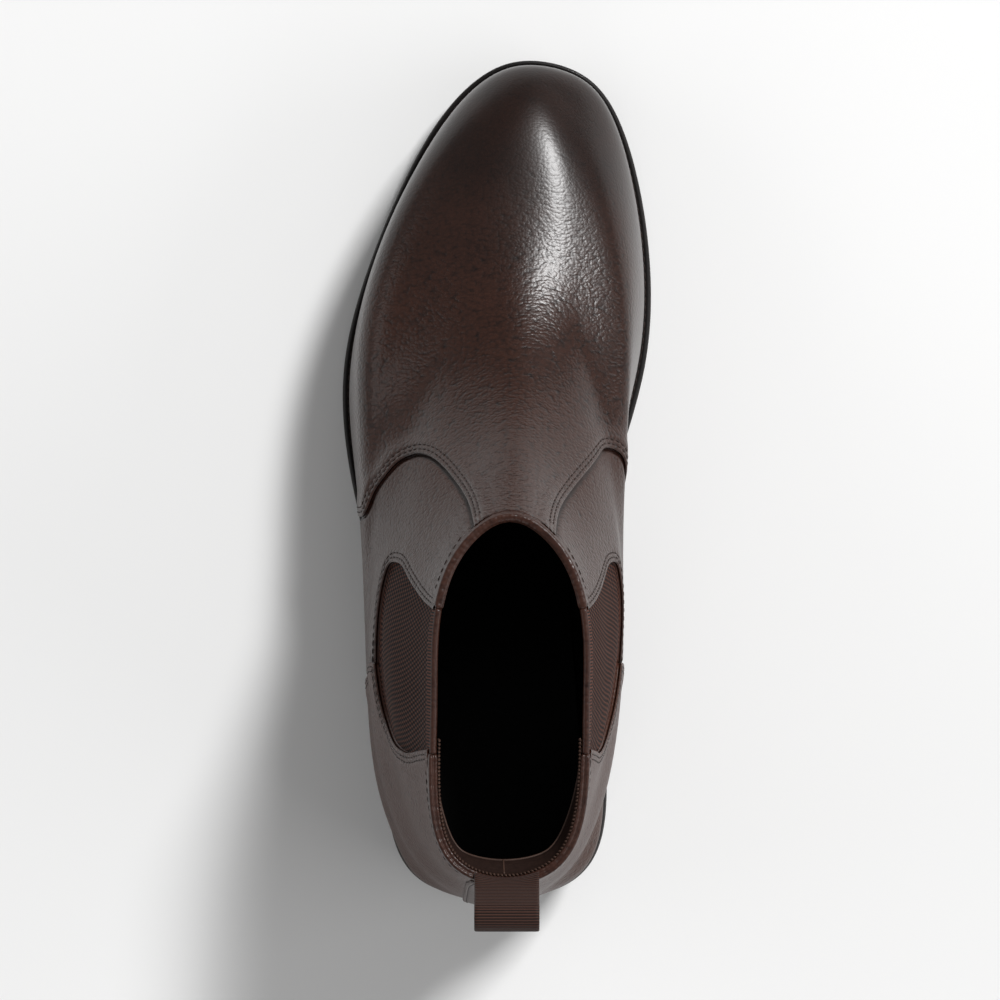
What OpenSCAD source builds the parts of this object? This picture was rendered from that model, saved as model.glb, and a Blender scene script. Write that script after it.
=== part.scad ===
// Chelsea boot, left foot: welted sole, stacked heel, elastic gores and a heel pull tab.
// Millimetres. +X is the inner (medial) side, +Y points to the toe, +Z is up.
// The upper is one surface, skin(th, t): th runs from the toe (0) round the inner side (90)
// to the heel (180), t from the feather line at the welt (0) to the topline (1).

/* [Sole] */
// Length of the sole from heel to toe
sole_l = 305; // [290:1:320]
// Width of the sole across the ball
ball_w = 113; // [106:1:120]
// Height of the heel block under the outsole
heel_h = 27; // [22:1:32]
// Lift of the toe off the ground
toe_spring = 12; // [8:1:16]
// Thickness of the outsole
outsole_t = 4.5; // [3.5:0.5:6]
// Thickness of the welt
welt_t = 3.2; // [2.5:0.1:4]
// Thickness of the rubber top piece of the heel
top_piece_t = 6; // [4:0.5:8]

/* [Upper] */
// Height of the topline at the heel
shaft_h = 155; // [148:1:165]
// Thickness of the upper leather
leather_t = 1.5; // [1.2:0.1:1.7]
// Thickness of the lining
lining_t = 1.0; // [0.8:0.1:1.2]
// Width of the strip over the back seam
backstay_w = 24; // [18:1:28]

/* [Pull tab] */
// Width of the webbing
tab_w = 22; // [16:1:26]
// Thickness of the webbing
tab_t = 1.5; // [1:0.1:1.8]
// Outer radius of the loop's round end
tab_r = 5.2; // [4.5:0.1:6]

/* [Hidden] */

// Colours
DARK_BROWN = [0.16, 0.09, 0.07];
EDGE_BLACK = [0.05, 0.04, 0.04];
LINING_BLACK = [0.07, 0.07, 0.08];
GORE_BROWN = [0.13, 0.07, 0.07];
WEBBING_BROWN = [0.27, 0.15, 0.10];
THREAD_DARK = [0.10, 0.06, 0.05];
FIBRE_TAN = [0.62, 0.48, 0.34];
CORK_TAN = [0.60, 0.42, 0.25];
STEEL_GREY = [0.62, 0.63, 0.65];
BRASS = [0.72, 0.56, 0.27];

// ---------- smooth interpolation ----------
function spline(a, b, c, d, s) =
    b + 0.5 * s * ((c - a) + s * ((2 * a - 5 * b + 4 * c - d) + s * (3 * (b - c) + d - a)));
function wrap(v, i) = v[(i + len(v)) % len(v)];
function round_table(v, u) =
    let (i = floor(u))
    spline(wrap(v, i - 1), wrap(v, i), wrap(v, i + 1), wrap(v, i + 2), u - i);
function clamp01(s) = min(1, max(0, s));
function ease(a, b, v) = let (s = clamp01((v - a) / (b - a))) s * s * (3 - 2 * s);
function turn(th) = (th + 720) % 360;
function unit(v) = v / norm(v);

// ---------- sole outline and profile ----------
// Half the outline's width every 15 degrees, from the toe round the inner side, for a 113 mm ball.
PLAN_STEP = 15;
PLAN_BALL = 113;
PLAN_X = [12, 31.5, 44.2, 52, 56.3, 54, 43, 36, 38, 39.8, 37.4, 25, 0,
    -25, -37, -40.8, -42, -45, -53.5, -56.3, -47.6, -34.6, -20.5, -5];
function outline(th) = [
    ball_w / PLAN_BALL * round_table(PLAN_X, turn(th) / PLAN_STEP),
    sole_l * (1 + cos(th)) / 2];
function outline_in(th, inset) =
    let (t = unit(outline(th + 0.5) - outline(th - 0.5)))
    outline(th) - inset * [-t[1], t[0]];

HEEL_BREAST = 72;       // front face of the heel, from the back of the sole
WAIST_END = 165;        // where the sole comes down to the ground
SPRING_START = 200;     // where the toe starts to lift
function sole_z(y) =
    heel_h * (1 - ease(HEEL_BREAST, WAIST_END, y))
    + toe_spring * pow(clamp01((y - SPRING_START) / (sole_l - SPRING_START)), 2);
function feather_z(y) = sole_z(y) + outsole_t + welt_t + LAYER_GAP;

// ---------- the surface of the upper ----------
LAYER_GAP = 0.25;       // clearance between stacked layers
FEATHER_INSET = 5;      // the upper meets the welt this far in from the outline
BULGE_INSET = 2.3;      // and swells out to this, a little above
HEEL_SWELL = 1.1;       // and by this much more beside the heel
BULGE_RISE = 14;
SHAFT_DRAWN = 155;      // the topline height that the rings below are drawn for
HALF_STEP = 22.5;
// Rings above the bulge: [y back, z back, y front, z front, x back, x front, bow, half widths]
RINGS = [
    [0.8, 62, 296, 43, 0, 11, -8.6, [18.5, 37.5, 49.2, 46.5, 42.8, 40.3, 26.5]],
    [1.8, 76, 278, 53, 0, 10, -4.6, [13.5, 27.5, 42, 44.8, 44.6, 39.5, 24]],
    [4.5, 91, 243, 60.5, 0, 8.5, -3.6, [11, 23.5, 36.5, 43.4, 44.2, 37.6, 24.3]],
    [7.5, 107, 205, 74, 0.5, 7, -2.4, [12.2, 26.2, 37, 43, 40, 33, 21]],
    [10.5, 123, 172, 100, 1, 6, -1.7, [11.5, 25.5, 35.3, 39, 36.3, 29.5, 19]],
    [12.5, 139, 153, 126, 2, 5, 0, [10.8, 22.6, 31.6, 33.2, 31.3, 26.5, 18.5]],
    [14, 155, 139.5, 150, 3, 4.6, 0.8, [11.5, 21.8, 26.6, 27, 27, 24.7, 16]]];
LAST = len(RINGS) + 1;
function half_table(h) = concat([0], h, [0], [for (i = [len(h) - 1:-1:0]) -h[i]]);
HALVES = [for (r = RINGS) half_table(r[7])];
function bulge_inset(y) = BULGE_INSET - HEEL_SWELL * ease(0, 30, y) * (1 - ease(80, WAIST_END, y));
function ring_point(k, th) =
    k == 0 ? let (p = outline_in(th, FEATHER_INSET)) [p[0], p[1], feather_z(p[1])] :
    k == 1 ? let (p = outline_in(th, bulge_inset(outline(th)[1]))) [p[0], p[1], feather_z(p[1]) + BULGE_RISE] :
    let (r = RINGS[k - 2], s = (1 + cos(th)) / 2)
    [(r[4] + (r[5] - r[4]) * s + 4 * r[6] * s * (1 - s)
        + round_table(HALVES[k - 2], turn(th) / HALF_STEP)) * ball_w / PLAN_BALL,
     (r[0] + (r[2] - r[0]) * s) * sole_l / 305,
     (r[1] + (r[3] - r[1]) * s) * shaft_h / SHAFT_DRAWN];
function skin(th, t) =
    let (i = max(0, min(LAST - 1, floor(t * LAST))), b = ring_point(i, th), c = ring_point(i + 1, th),
        a = i > 0 ? ring_point(i - 1, th) : 2 * b - c,
        d = i < LAST - 1 ? ring_point(i + 2, th) : 2 * c - b)
    spline(a, b, c, d, t * LAST - i);
D_TH = 0.6;
D_T = 0.008;
function across(th, t) = (skin(th + D_TH, t) - skin(th - D_TH, t)) / (2 * D_TH);
function upward(th, t) = (skin(th, t + D_T) - skin(th, t - D_T)) / (2 * D_T);
function normal(th, t) = unit(cross(upward(th, t), across(th, t)));

// A closed shell between two offsets of the skin. Each row is a list of [th, t, inner, outer].
function flat(v) = [for (r = v) for (q = r) q];
function reversed(v) = [for (i = [len(v) - 1:-1:0]) v[i]];
function quad_faces(a, b, c, d) = [[a, b, c], [a, c, d]];
module shell(rows, side = 1) {
    ordered = side > 0 ? rows : [for (r = rows) reversed(r)];
    m = len(ordered);
    n = len(ordered[0]);
    cells = [for (q = flat(ordered)) [skin(q[0], q[1]), normal(q[0], q[1]), q[2], q[3]]];
    outer = [for (c = cells) c[0] + c[3] * c[1]];
    inner = [for (c = cells) c[0] + c[2] * c[1]];
    k = m * n;
    last = (m - 1) * n;
    right = n - 1;
    faces = concat(
        [for (i = [0:m - 2]) for (j = [0:n - 2])
            let (a = i * n + j, b = a + n)
            for (f = concat(quad_faces(a, a + 1, b + 1, b),
                quad_faces(k + a, k + b, k + b + 1, k + a + 1))) f],
        [for (j = [0:n - 2])
            let (b = last + j)
            for (f = concat(quad_faces(j, k + j, k + j + 1, j + 1),
                quad_faces(b + 1, b + k + 1, b + k, b))) f],
        [for (i = [0:m - 2])
            let (a = i * n, b = a + n)
            for (f = concat(quad_faces(b, k + b, k + a, a),
                quad_faces(k + a + right, k + b + right, b + right, a + right))) f]);
    polyhedron(points = concat(outer, inner), faces = faces, convexity = 8);
}

// ---------- layers through the thickness, thinned at the topline ----------
MID_T = 1.0;            // gore elastic, heel counter and toe puff
TOP_SKIVE = 0.38;
SKIVE_RANGE = [0.88, 0.965];
function skive(t) = 1 - TOP_SKIVE * clamp01((t - SKIVE_RANGE[0]) / (SKIVE_RANGE[1] - SKIVE_RANGE[0]));
MID_OUT = -leather_t - LAYER_GAP;
MID_IN = MID_OUT - MID_T;
LINING_GAP = 0.45;
LINING_OUT = MID_IN - LINING_GAP;
LINING_IN = LINING_OUT - lining_t;
function leather(th, t) = [th, t, -leather_t * skive(t), 0];
function middle(th, t) = [th, t, MID_IN * skive(t), MID_OUT * skive(t)];
function lining(th, t) = [th, t, LINING_IN * skive(t), LINING_OUT * skive(t)];

// ---------- seams, as [t, degrees from the toe] ----------
VAMP_SEAM_LATERAL = [[0, 96], [0.15, 95], [0.31, 92.5], [0.36, 88.5], [0.46, 79.5], [0.52, 71.5],
    [0.6, 60.5], [0.66, 50.5], [0.73, 40.5], [0.835, 32], [1, 23.5]];
VAMP_SEAM_MEDIAL = [[0, 96], [0.15, 95.5], [0.3, 89], [0.37, 83.5], [0.46, 75], [0.575, 62.5],
    [0.63, 56], [0.68, 50], [0.75, 42], [0.85, 35], [1, 29.5]];
GORE_BOTTOM = 0.578;
GORE_FRONT = [[GORE_BOTTOM, 104], [0.6, 95], [0.622, 88], [0.641, 80.5], [0.69, 73.5], [0.75, 68.5],
    [0.82, 66.5], [0.92, 64.5], [1, 61.5]];
GORE_BACK = [[GORE_BOTTOM, 104], [0.591, 108], [0.625, 112], [0.7, 113.5], [0.82, 112.5],
    [0.9, 109.5], [1, 105.5]];
SIDE_SEAM = [[0, 121], [0.3, 116.5], [GORE_BOTTOM, 104]];
function vamp_seam(t, side) = lookup(t, side > 0 ? VAMP_SEAM_MEDIAL : VAMP_SEAM_LATERAL);
function front_edge(t) = t < GORE_BOTTOM ? lookup(t, SIDE_SEAM) : lookup(t, GORE_FRONT);
function back_edge(t) = t < GORE_BOTTOM ? lookup(t, SIDE_SEAM) : lookup(t, GORE_BACK);

LAP = 5;                // degrees that an under panel runs beneath the panel on top
STEP_IN = 0.1;
STEP_OUT = 1.4;
SIDE_LAP_TOP = 0.5;     // the side seam's lap stops here, below the gore
BINDING_SEAT = 0.985;   // the panels stop here, inside the binding
SIDE_ROWS = [0, 0.05, 0.1, 0.15, 0.2, 0.25, 0.31, 0.36, 0.41, 0.46, 0.49, 0.51, 0.55, 0.577, 0.5785,
    0.6, 0.622, 0.641, 0.66, 0.69, 0.73, 0.77, 0.82, 0.865, 0.91, 0.95, BINDING_SEAT];

// ---------- sole ----------
OUTLINE_STEP = 5;
PROFILE_STEP = 5;
BIG = 400;
module plan(inset) {
    polygon([for (a = [360 - OUTLINE_STEP:-OUTLINE_STEP:0]) outline_in(a, inset)]);
}
// The space between two heights over the sole's underside, from y0 to y1.
module profile(low, high, y0, y1) {
    n = ceil((y1 - y0) / PROFILE_STEP);
    ys = [for (i = [0:n]) y0 + (y1 - y0) * i / n];
    rotate([90, 0, 90])
        linear_extrude(BIG, center = true)
            polygon(concat([for (y = ys) [y, sole_z(y) + low]],
                [for (y = reversed(ys)) [y, sole_z(y) + high]]));
}
// The heel seat, the waist and the tread are built one after the other.
module layer(inset, low, high, y0 = -5, y1 = 350) {
    intersection() {
        linear_extrude(BIG, center = true) plan(inset);
        union() {
            for (span = [[-5, HEEL_BREAST], [HEEL_BREAST, WAIST_END], [WAIST_END, 350]])
                if (span[0] < y1 && span[1] > y0)
                    profile(low, high, max(span[0], y0), min(span[1], y1));
        }
    }
}
module ring_layer(inset_out, inset_in, low, high, y0 = -5, y1 = 350) {
    difference() {
        layer(inset_out, low, high, y0, y1);
        linear_extrude(BIG, center = true) plan(inset_in);
    }
}

CONTACT_GAP = 0.1;
WELT_INSET = 0.3;
WELT_INNER = 9;
RAND_FRONT = HEEL_BREAST - 0.5;
RIB_OUTER = 9.6;
RIB_INNER = 11;
INSOLE_INSET = 9.6;
INSOLE_T = 2.4;
SOCK_T = 1.8;
WELT_TOP = outsole_t + welt_t;
module outsole() { color(EDGE_BLACK) place() layer(0, 0, outsole_t); }
module welt() {
    color(EDGE_BLACK) place()
        ring_layer(WELT_INSET, WELT_INNER, outsole_t + CONTACT_GAP, WELT_TOP, HEEL_BREAST, 350);
}
module heel_rand() {
    color(EDGE_BLACK) place()
        ring_layer(WELT_INSET, WELT_INNER, outsole_t + CONTACT_GAP, WELT_TOP, -5, RAND_FRONT);
}
module insole_rib() {
    color(FIBRE_TAN) place()
        ring_layer(RIB_OUTER, RIB_INNER, outsole_t + CONTACT_GAP, WELT_TOP, HEEL_BREAST, 350);
}
CORK_START = 150;
CORK_T = 2.6;
module cork_filler() {
    color(CORK_TAN) place()
        layer(RIB_INNER + 0.3, outsole_t + CONTACT_GAP, outsole_t + CONTACT_GAP + CORK_T, CORK_START, 350);
}
SHANK_W = 18;
SHANK_T = 1.6;
SHANK_Y = [40, 146];
module steel_shank() {
    color(STEEL_GREY) place()
        intersection() {
            profile(outsole_t + CONTACT_GAP, outsole_t + CONTACT_GAP + SHANK_T, SHANK_Y[0], SHANK_Y[1]);
            translate([-SHANK_W / 2, 0, 0]) cube([SHANK_W, BIG, BIG / 4]);
        }
}
module insole_board() {
    color(FIBRE_TAN) place() layer(INSOLE_INSET, WELT_TOP + CONTACT_GAP, WELT_TOP + CONTACT_GAP + INSOLE_T);
}
module sock_liner() {
    low = WELT_TOP + INSOLE_T + 2 * CONTACT_GAP;
    color(LINING_BLACK) place() layer(INSOLE_INSET, low, low + SOCK_T);
}

// ---------- heel ----------
LIFTS = 4;
LIFT_STEP = (heel_h - top_piece_t) / LIFTS;
HEEL_INSET = 0.6;
HEEL_PITCH = 0.35;      // each lift down is this much smaller all round
BREAST_R = 60;          // radius of the hollow front face of the heel
BREAST_HOLLOW = 4;
NAIL_D = 2;
NAIL_HOLE_D = 2.4;
NAIL_LEN = 18;
NAIL_RECESS = 0.4;
NAIL_INSET = 13;
NAIL_ANGLES = [128, 145, 180, 215, 232];
function lift_low(i) = heel_h - i * LIFT_STEP;
module heel_plan(inset, breast) {
    difference() {
        intersection() {
            plan(inset);
            translate([-BIG / 2, -20]) square([BIG, 20 + breast]);
        }
        translate([0, breast - BREAST_HOLLOW + BREAST_R]) circle(BREAST_R, $fn = 96);
    }
}
module nail_row(d, z, h) {
    for (a = NAIL_ANGLES)
        let (p = outline_in(a, NAIL_INSET))
            translate([p[0], p[1], z]) cylinder(h = h, d = d, $fn = 24);
}
// Slab i of the heel, counted down from the outsole.
module heel_slab(i, low, high) {
    difference() {
        translate([0, 0, low])
            linear_extrude(high - low) heel_plan(HEEL_INSET + i * HEEL_PITCH, HEEL_BREAST - i * HEEL_PITCH);
        nail_row(NAIL_HOLE_D, -1, NAIL_LEN + NAIL_RECESS + 1.2);
    }
}
module heel_lift(i) {
    color(DARK_BROWN) place() heel_slab(i, lift_low(i), lift_low(i - 1) - CONTACT_GAP);
}
module heel_lift_1() { heel_lift(1); }
module heel_lift_2() { heel_lift(2); }
module heel_lift_3() { heel_lift(3); }
module heel_lift_4() { heel_lift(4); }
module heel_top_piece() { color(EDGE_BLACK) place() heel_slab(LIFTS + 1, 0, top_piece_t - CONTACT_GAP); }
module heel_nails() { color(BRASS) place() nail_row(NAIL_D, NAIL_RECESS, NAIL_LEN); }

// ---------- upper panels ----------
VAMP_ROWS = 22;
VAMP_COLUMNS = 36;
module vamp() {
    rows = [for (i = [0:VAMP_ROWS])
        let (t = BINDING_SEAT * i / VAMP_ROWS, a = -vamp_seam(t, -1), b = vamp_seam(t, 1))
        [for (j = [0:VAMP_COLUMNS]) leather(a + (b - a) * j / VAMP_COLUMNS, t)]];
    color(DARK_BROWN) place() shell(rows);
}

PANEL_COLUMNS = 7;
// Front quarter: under the vamp in front, under the back quarter below the gore.
module quarter_front(side) {
    rows = [for (t = SIDE_ROWS)
        let (v = vamp_seam(t, side), e = front_edge(t), a = v + STEP_OUT, b = e - STEP_OUT)
        concat([middle(side * (v - LAP), t), middle(side * (v + STEP_IN), t)],
            [for (j = [0:PANEL_COLUMNS]) leather(side * (a + (b - a) * j / PANEL_COLUMNS), t)],
            t < SIDE_LAP_TOP ? [middle(side * (e - STEP_IN), t), middle(side * (e + LAP), t)]
                : [leather(side * (e - STEP_OUT / 2), t), leather(side * (e - STEP_IN), t)])];
    color(DARK_BROWN) place() shell(rows, side);
}
module quarter_front_lateral() { quarter_front(-1); }
module quarter_front_medial() { quarter_front(1); }

BACK_COLUMNS = 9;
BACK_SEAM = 179.8;
module quarter_back(side) {
    rows = [for (t = SIDE_ROWS)
        let (e = back_edge(t) + STEP_IN)
        [for (j = [0:BACK_COLUMNS]) leather(side * (e + (BACK_SEAM - e) * j / BACK_COLUMNS), t)]];
    color(DARK_BROWN) place() shell(rows, side);
}
module quarter_back_lateral() { quarter_back(-1); }
module quarter_back_medial() { quarter_back(1); }

GORE_LAP = 3.5;
GORE_LOW = 0.53;
GORE_COLUMNS = 9;
GORE_ROWS = concat([GORE_LOW], [for (t = SIDE_ROWS) if (t > 0.54 && t < BINDING_SEAT) t], [1]);
module gore(side) {
    rows = [for (t = GORE_ROWS)
        let (a = lookup(t, GORE_FRONT) - GORE_LAP, b = lookup(t, GORE_BACK) + GORE_LAP)
        [for (j = [0:GORE_COLUMNS]) middle(side * (a + (b - a) * j / GORE_COLUMNS), t)]];
    color(GORE_BROWN) place() shell(rows, side);
}
module gore_lateral() { gore(-1); }
module gore_medial() { gore(1); }

// Degrees either side of the back seam that span w / 2 along the skin.
function back_span(t, w) = w / 2 / norm(across(174, t));
BACKSTAY_RANGE = [0.02, 0.955];
BACKSTAY_ROWS = 18;
BACKSTAY_LIFT = 0.2;
BACKSTAY_T = 1.0;
module backstay() {
    rows = [for (i = [0:BACKSTAY_ROWS])
        let (t = BACKSTAY_RANGE[0] + (BACKSTAY_RANGE[1] - BACKSTAY_RANGE[0]) * i / BACKSTAY_ROWS,
            s = back_span(t, backstay_w))
        [for (j = [-3:3]) [180 + s * j / 3, t, BACKSTAY_LIFT, BACKSTAY_LIFT + BACKSTAY_T]]];
    color(DARK_BROWN) place() shell(rows);
}

// ---------- bindings over the top edge ----------
// A sweep along the topline. The section lists [offset out, height over the edge]: along the outside of a
// folded strip, then back along the inside with as many points, so each end closes with quads.
module edge_sweep(section, angles) {
    n = len(section);
    m = len(angles);
    points = [for (a = angles)
        let (p = skin(a, 1), out = normal(a, 1), up = unit(upward(a, 1)))
        for (q = section) p + q[0] * out + q[1] * up];
    last = (m - 1) * n;
    faces = concat(
        [for (i = [0:m - 2]) for (j = [0:n - 1])
            let (j2 = (j + 1) % n)
            for (f = quad_faces(i * n + j, i * n + j2, (i + 1) * n + j2, (i + 1) * n + j)) f],
        [for (j = [0:n / 2 - 2])
            let (k = n - 1 - j)
            for (f = concat(quad_faces(j + 1, j, k, k - 1),
                quad_faces(last + j, last + j + 1, last + k - 1, last + k))) f]);
    polyhedron(points = points, faces = faces, convexity = 8);
}
TOP_THICK = -LINING_IN * (1 - TOP_SKIVE);
BINDING_T = 0.6;
// A folded strip: outer leg, round top, inner leg, with the panels' edges inside it.
function fold(clear, t, leg_out, leg_in, rise) = [
    [clear + t, -leg_out], [clear + t, rise * 0.4], [clear, rise + t * 0.8],
    [-TOP_THICK / 2, rise + t * 1.35], [-TOP_THICK - clear, rise + t * 0.8],
    [-TOP_THICK - clear - t, rise * 0.4], [-TOP_THICK - clear - t, -leg_in],
    [-TOP_THICK - clear, -leg_in], [-TOP_THICK - clear, rise * 0.3], [-TOP_THICK - clear * 0.6, rise * 0.8],
    [-TOP_THICK / 2, rise], [clear * 0.6, rise * 0.8], [clear, rise * 0.3], [clear, -leg_out]];
BINDING_LEG = 3;
BINDING_CLEAR = 0.15;
module binding(from, to, n) {
    section = fold(BINDING_CLEAR, BINDING_T, BINDING_LEG, BINDING_LEG, 0.3);
    color(DARK_BROWN) place() edge_sweep(section, [for (i = [0:n]) from + (to - from) * i / n]);
}
COLLAR_END = 60.5;
BACK_BINDING_END = 107;
BINDING_STATIONS = 24;
module collar_binding_front() { binding(-COLLAR_END, COLLAR_END, BINDING_STATIONS); }
module collar_binding_back() { binding(BACK_BINDING_END, 360 - BACK_BINDING_END, BINDING_STATIONS); }

// ---------- stiffeners and linings ----------
PUFF_SPAN = 52;
PUFF_TOP = 0.5;
PUFF_SIDE = 0.3;
PUFF_LOW = 0.03;
module toe_puff() {
    rows = [for (i = [0:9]) [for (j = [-9:9])
        let (a = PUFF_SPAN * j / 9, top = PUFF_SIDE + (PUFF_TOP - PUFF_SIDE) * pow(cos(90 * j / 9), 0.7))
        middle(a, PUFF_LOW + (top - PUFF_LOW) * i / 9)]];
    color(FIBRE_TAN) place() shell(rows);
}
COUNTER_SPAN = 48;
COUNTER_TOP = 0.47;
COUNTER_SIDE = 0.3;
module heel_counter() {
    rows = [for (i = [0:8]) [for (j = [-9:9])
        let (top = COUNTER_SIDE + (COUNTER_TOP - COUNTER_SIDE) * cos(90 * j / 9))
        middle(180 + COUNTER_SPAN * j / 9, PUFF_LOW + (top - PUFF_LOW) * i / 8)]];
    color(FIBRE_TAN) place() shell(rows);
}
LINING_SEAM = 0.15;
module lining_front() {
    rows = [for (t = SIDE_ROWS)
        let (e = front_edge(t) - LINING_SEAM)
        [for (j = [-14:14]) lining(e * j / 14, t)]];
    color(LINING_BLACK) place() shell(rows);
}
module lining_back() {
    rows = [for (t = SIDE_ROWS)
        let (e = 180 - back_edge(t) - LINING_SEAM)
        [for (j = [-9:9]) lining(180 + e * j / 9, t)]];
    color(LINING_BLACK) place() shell(rows);
}
GRIP_SPAN = 56;
GRIP_RANGE = [0.2, 0.925];
GRIP_T = 0.8;
module heel_grip() {
    rows = [for (i = [0:9])
        let (t = GRIP_RANGE[0] + (GRIP_RANGE[1] - GRIP_RANGE[0]) * i / 9,
            outer = LINING_IN * skive(t) - LINING_GAP)
        [for (j = [-8:8]) [180 + GRIP_SPAN * j / 8, t, outer - GRIP_T, outer]]];
    color(LINING_BLACK) place() shell(rows);
}

// ---------- pull tab ----------
// The base is sewn over the topline; the loop above it hinges on the axis through HINGE.
TAB_X = 3.4;
TAB_CLEAR = BINDING_CLEAR + BINDING_T + 0.5;
TAB_BASE_T = 1.0;
TAB_LEG_OUT = 5;
TAB_LEG_IN = 8;
TAB_RISE = 1.3;
TAB_STATIONS = 8;
HINGE_LIFT = 2.6;
HINGE = [TAB_X, skin(180, 1)[1] + TOP_THICK / 2, shaft_h + HINGE_LIFT];
module pull_tab_base() {
    s = back_span(1, tab_w - 1);
    section = fold(TAB_CLEAR, TAB_BASE_T, TAB_LEG_OUT, TAB_LEG_IN, TAB_RISE);
    half = TAB_STATIONS / 2;
    color(WEBBING_BROWN) place() edge_sweep(section, [for (j = [-half:half]) 180 + s * j / half]);
}
// The loop's outline in the side view, from the hinge: a round end and two straight legs.
LOOP_REACH = 14.5;      // hinge to the centre of the round end
LOOP_LEAN = 50;         // degrees that the loop leans back from upright
LOOP_START = 2.4;       // clear space round the hinge
LOOP_SEWN = 3.4;        // the two legs are one thickness for this length
LOOP_TANGENT = acos((tab_r - tab_t) / LOOP_REACH);
function tangent_point(r, side) =
    [side * r * sin(LOOP_TANGENT), LOOP_REACH - r * cos(LOOP_TANGENT)];
module loop_section() {
    inner_r = tab_r - tab_t;
    difference() {
        union() {
            translate([0, LOOP_REACH]) circle(tab_r, $fn = 64);
            polygon([[-tab_t, LOOP_START], [tab_t, LOOP_START],
                tangent_point(tab_r, 1), tangent_point(tab_r, -1)]);
        }
        translate([0, LOOP_REACH]) circle(inner_r, $fn = 64);
        polygon([[0, LOOP_START + LOOP_SEWN], tangent_point(inner_r, 1), tangent_point(inner_r, -1)]);
    }
}
module pull_tab() {
    color(WEBBING_BROWN) place()
        translate(HINGE)
            rotate([LOOP_LEAN, 0, 0])
                rotate([90, 0, 90])
                    linear_extrude(tab_w, center = true) loop_section();
}

// ---------- stitching ----------
THREAD_W = 0.7;
THREAD_LOW = 0.3;
THREAD_HIGH = 0.7;
// A thread over the skin along a list of [th, t, base offset], pushed sideways by shift.
module thread(path, shift) {
    m = len(path);
    frames = [for (i = [0:m - 1])
        let (q = path[i], n = normal(q[0], q[1]), a = path[max(0, i - 1)], b = path[min(m - 1, i + 1)],
            along = unit(skin(b[0], b[1]) - skin(a[0], a[1])), w = unit(cross(n, along)))
        [skin(q[0], q[1]) + shift * w + q[2] * n, n, w]];
    corners = [[-1, THREAD_LOW], [1, THREAD_LOW], [1, THREAD_HIGH], [-1, THREAD_HIGH]];
    points = [for (f = frames) for (c = corners) f[0] + c[0] * THREAD_W / 2 * f[2] + c[1] * f[1]];
    faces = concat(
        [for (i = [0:m - 2]) for (j = [0:3])
            let (j2 = (j + 1) % 4)
            for (f = quad_faces(i * 4 + j, (i + 1) * 4 + j, (i + 1) * 4 + j2, i * 4 + j2)) f],
        [[0, 1, 2, 3]], [[(m - 1) * 4 + 3, (m - 1) * 4 + 2, (m - 1) * 4 + 1, (m - 1) * 4]]);
    polyhedron(points = points, faces = faces, convexity = 4);
}
ROW_NEAR = 1.6;
ROW_FAR = 3.3;
SEAM_STATIONS = 26;
ROW_START = 0.01;       // the rows start just above the welt
VAMP_ROW_END = 0.93;
function between(a, b, i, n) = a + (b - a) * i / n;
module stitching_vamp() {
    for (side = [-1, 1]) {
        path = [for (i = [0:SEAM_STATIONS])
            let (t = between(ROW_START, VAMP_ROW_END, i, SEAM_STATIONS)) [side * vamp_seam(t, side), t, 0]];
        for (row = [ROW_NEAR, ROW_FAR]) color(THREAD_DARK) place() thread(path, -side * row);
    }
}
// Round the gore's edge on the leather: down the front to its lowest point, and up the back.
GORE_ROW_TOP = 0.95;
GORE_ROW_TURN = 0.6;
GORE_ROW_LOW = 0.585;
GORE_STATIONS = 11;
GORE_TURN = concat([for (i = [0:GORE_STATIONS]) between(GORE_ROW_TOP, GORE_ROW_TURN, i, GORE_STATIONS)],
    [GORE_ROW_LOW]);
module stitching_gore() {
    for (side = [-1, 1]) {
        front = [for (t = concat(GORE_TURN, [GORE_BOTTOM])) [side * lookup(t, GORE_FRONT), t, 0]];
        back = [for (t = reversed(GORE_TURN)) [side * lookup(t, GORE_BACK), t, 0]];
        for (row = [ROW_NEAR, ROW_FAR]) {
            color(THREAD_DARK) place() thread(front, side * row);
            color(THREAD_DARK) place() thread(back, side * row);
        }
    }
}
SIDE_ROW_END = 0.55;
module stitching_side_seam() {
    for (side = [-1, 1]) {
        rows = concat([ROW_START], [for (t = SIDE_ROWS) if (t > ROW_START && t <= SIDE_ROW_END) t]);
        path = [for (t = rows) [side * lookup(t, SIDE_SEAM), t, 0]];
        for (row = [ROW_NEAR, ROW_FAR]) color(THREAD_DARK) place() thread(path, side * row);
    }
}
BACKSTAY_ROW = [0.04, 0.94];
BACKSTAY_STATIONS = 14;
module stitching_backstay() {
    for (side = [-1, 1]) {
        path = [for (i = [0:BACKSTAY_STATIONS])
            let (t = between(BACKSTAY_ROW[0], BACKSTAY_ROW[1], i, BACKSTAY_STATIONS))
            [180 + side * back_span(t, backstay_w - 2 * ROW_NEAR), t, BACKSTAY_LIFT + BACKSTAY_T]];
        color(THREAD_DARK) place() thread(path, 0);
    }
}
TOPLINE_ROW = 0.955;
TOPLINE_STATIONS = 12;
TOPLINE_MARGIN = 4.5;   // degrees between a row's end and the seam beside it
STAY_MARGIN = 1.5;      // millimetres between a row's end and the backstay
module stitching_topline() {
    back = 180 - back_span(TOPLINE_ROW, backstay_w + 2 * STAY_MARGIN);
    for (side = [-1, 1]) {
        v = vamp_seam(TOPLINE_ROW, side) + TOPLINE_MARGIN;
        for (ends = [[BACK_BINDING_END + TOPLINE_MARGIN, back], [v, COLLAR_END - TOPLINE_MARGIN]]) {
            row = [for (i = [0:TOPLINE_STATIONS])
                [side * between(ends[0], ends[1], i, TOPLINE_STATIONS), TOPLINE_ROW, 0]];
            color(THREAD_DARK) place() thread(row, 0);
        }
    }
}
WELT_ROW = 2.1;
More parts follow.
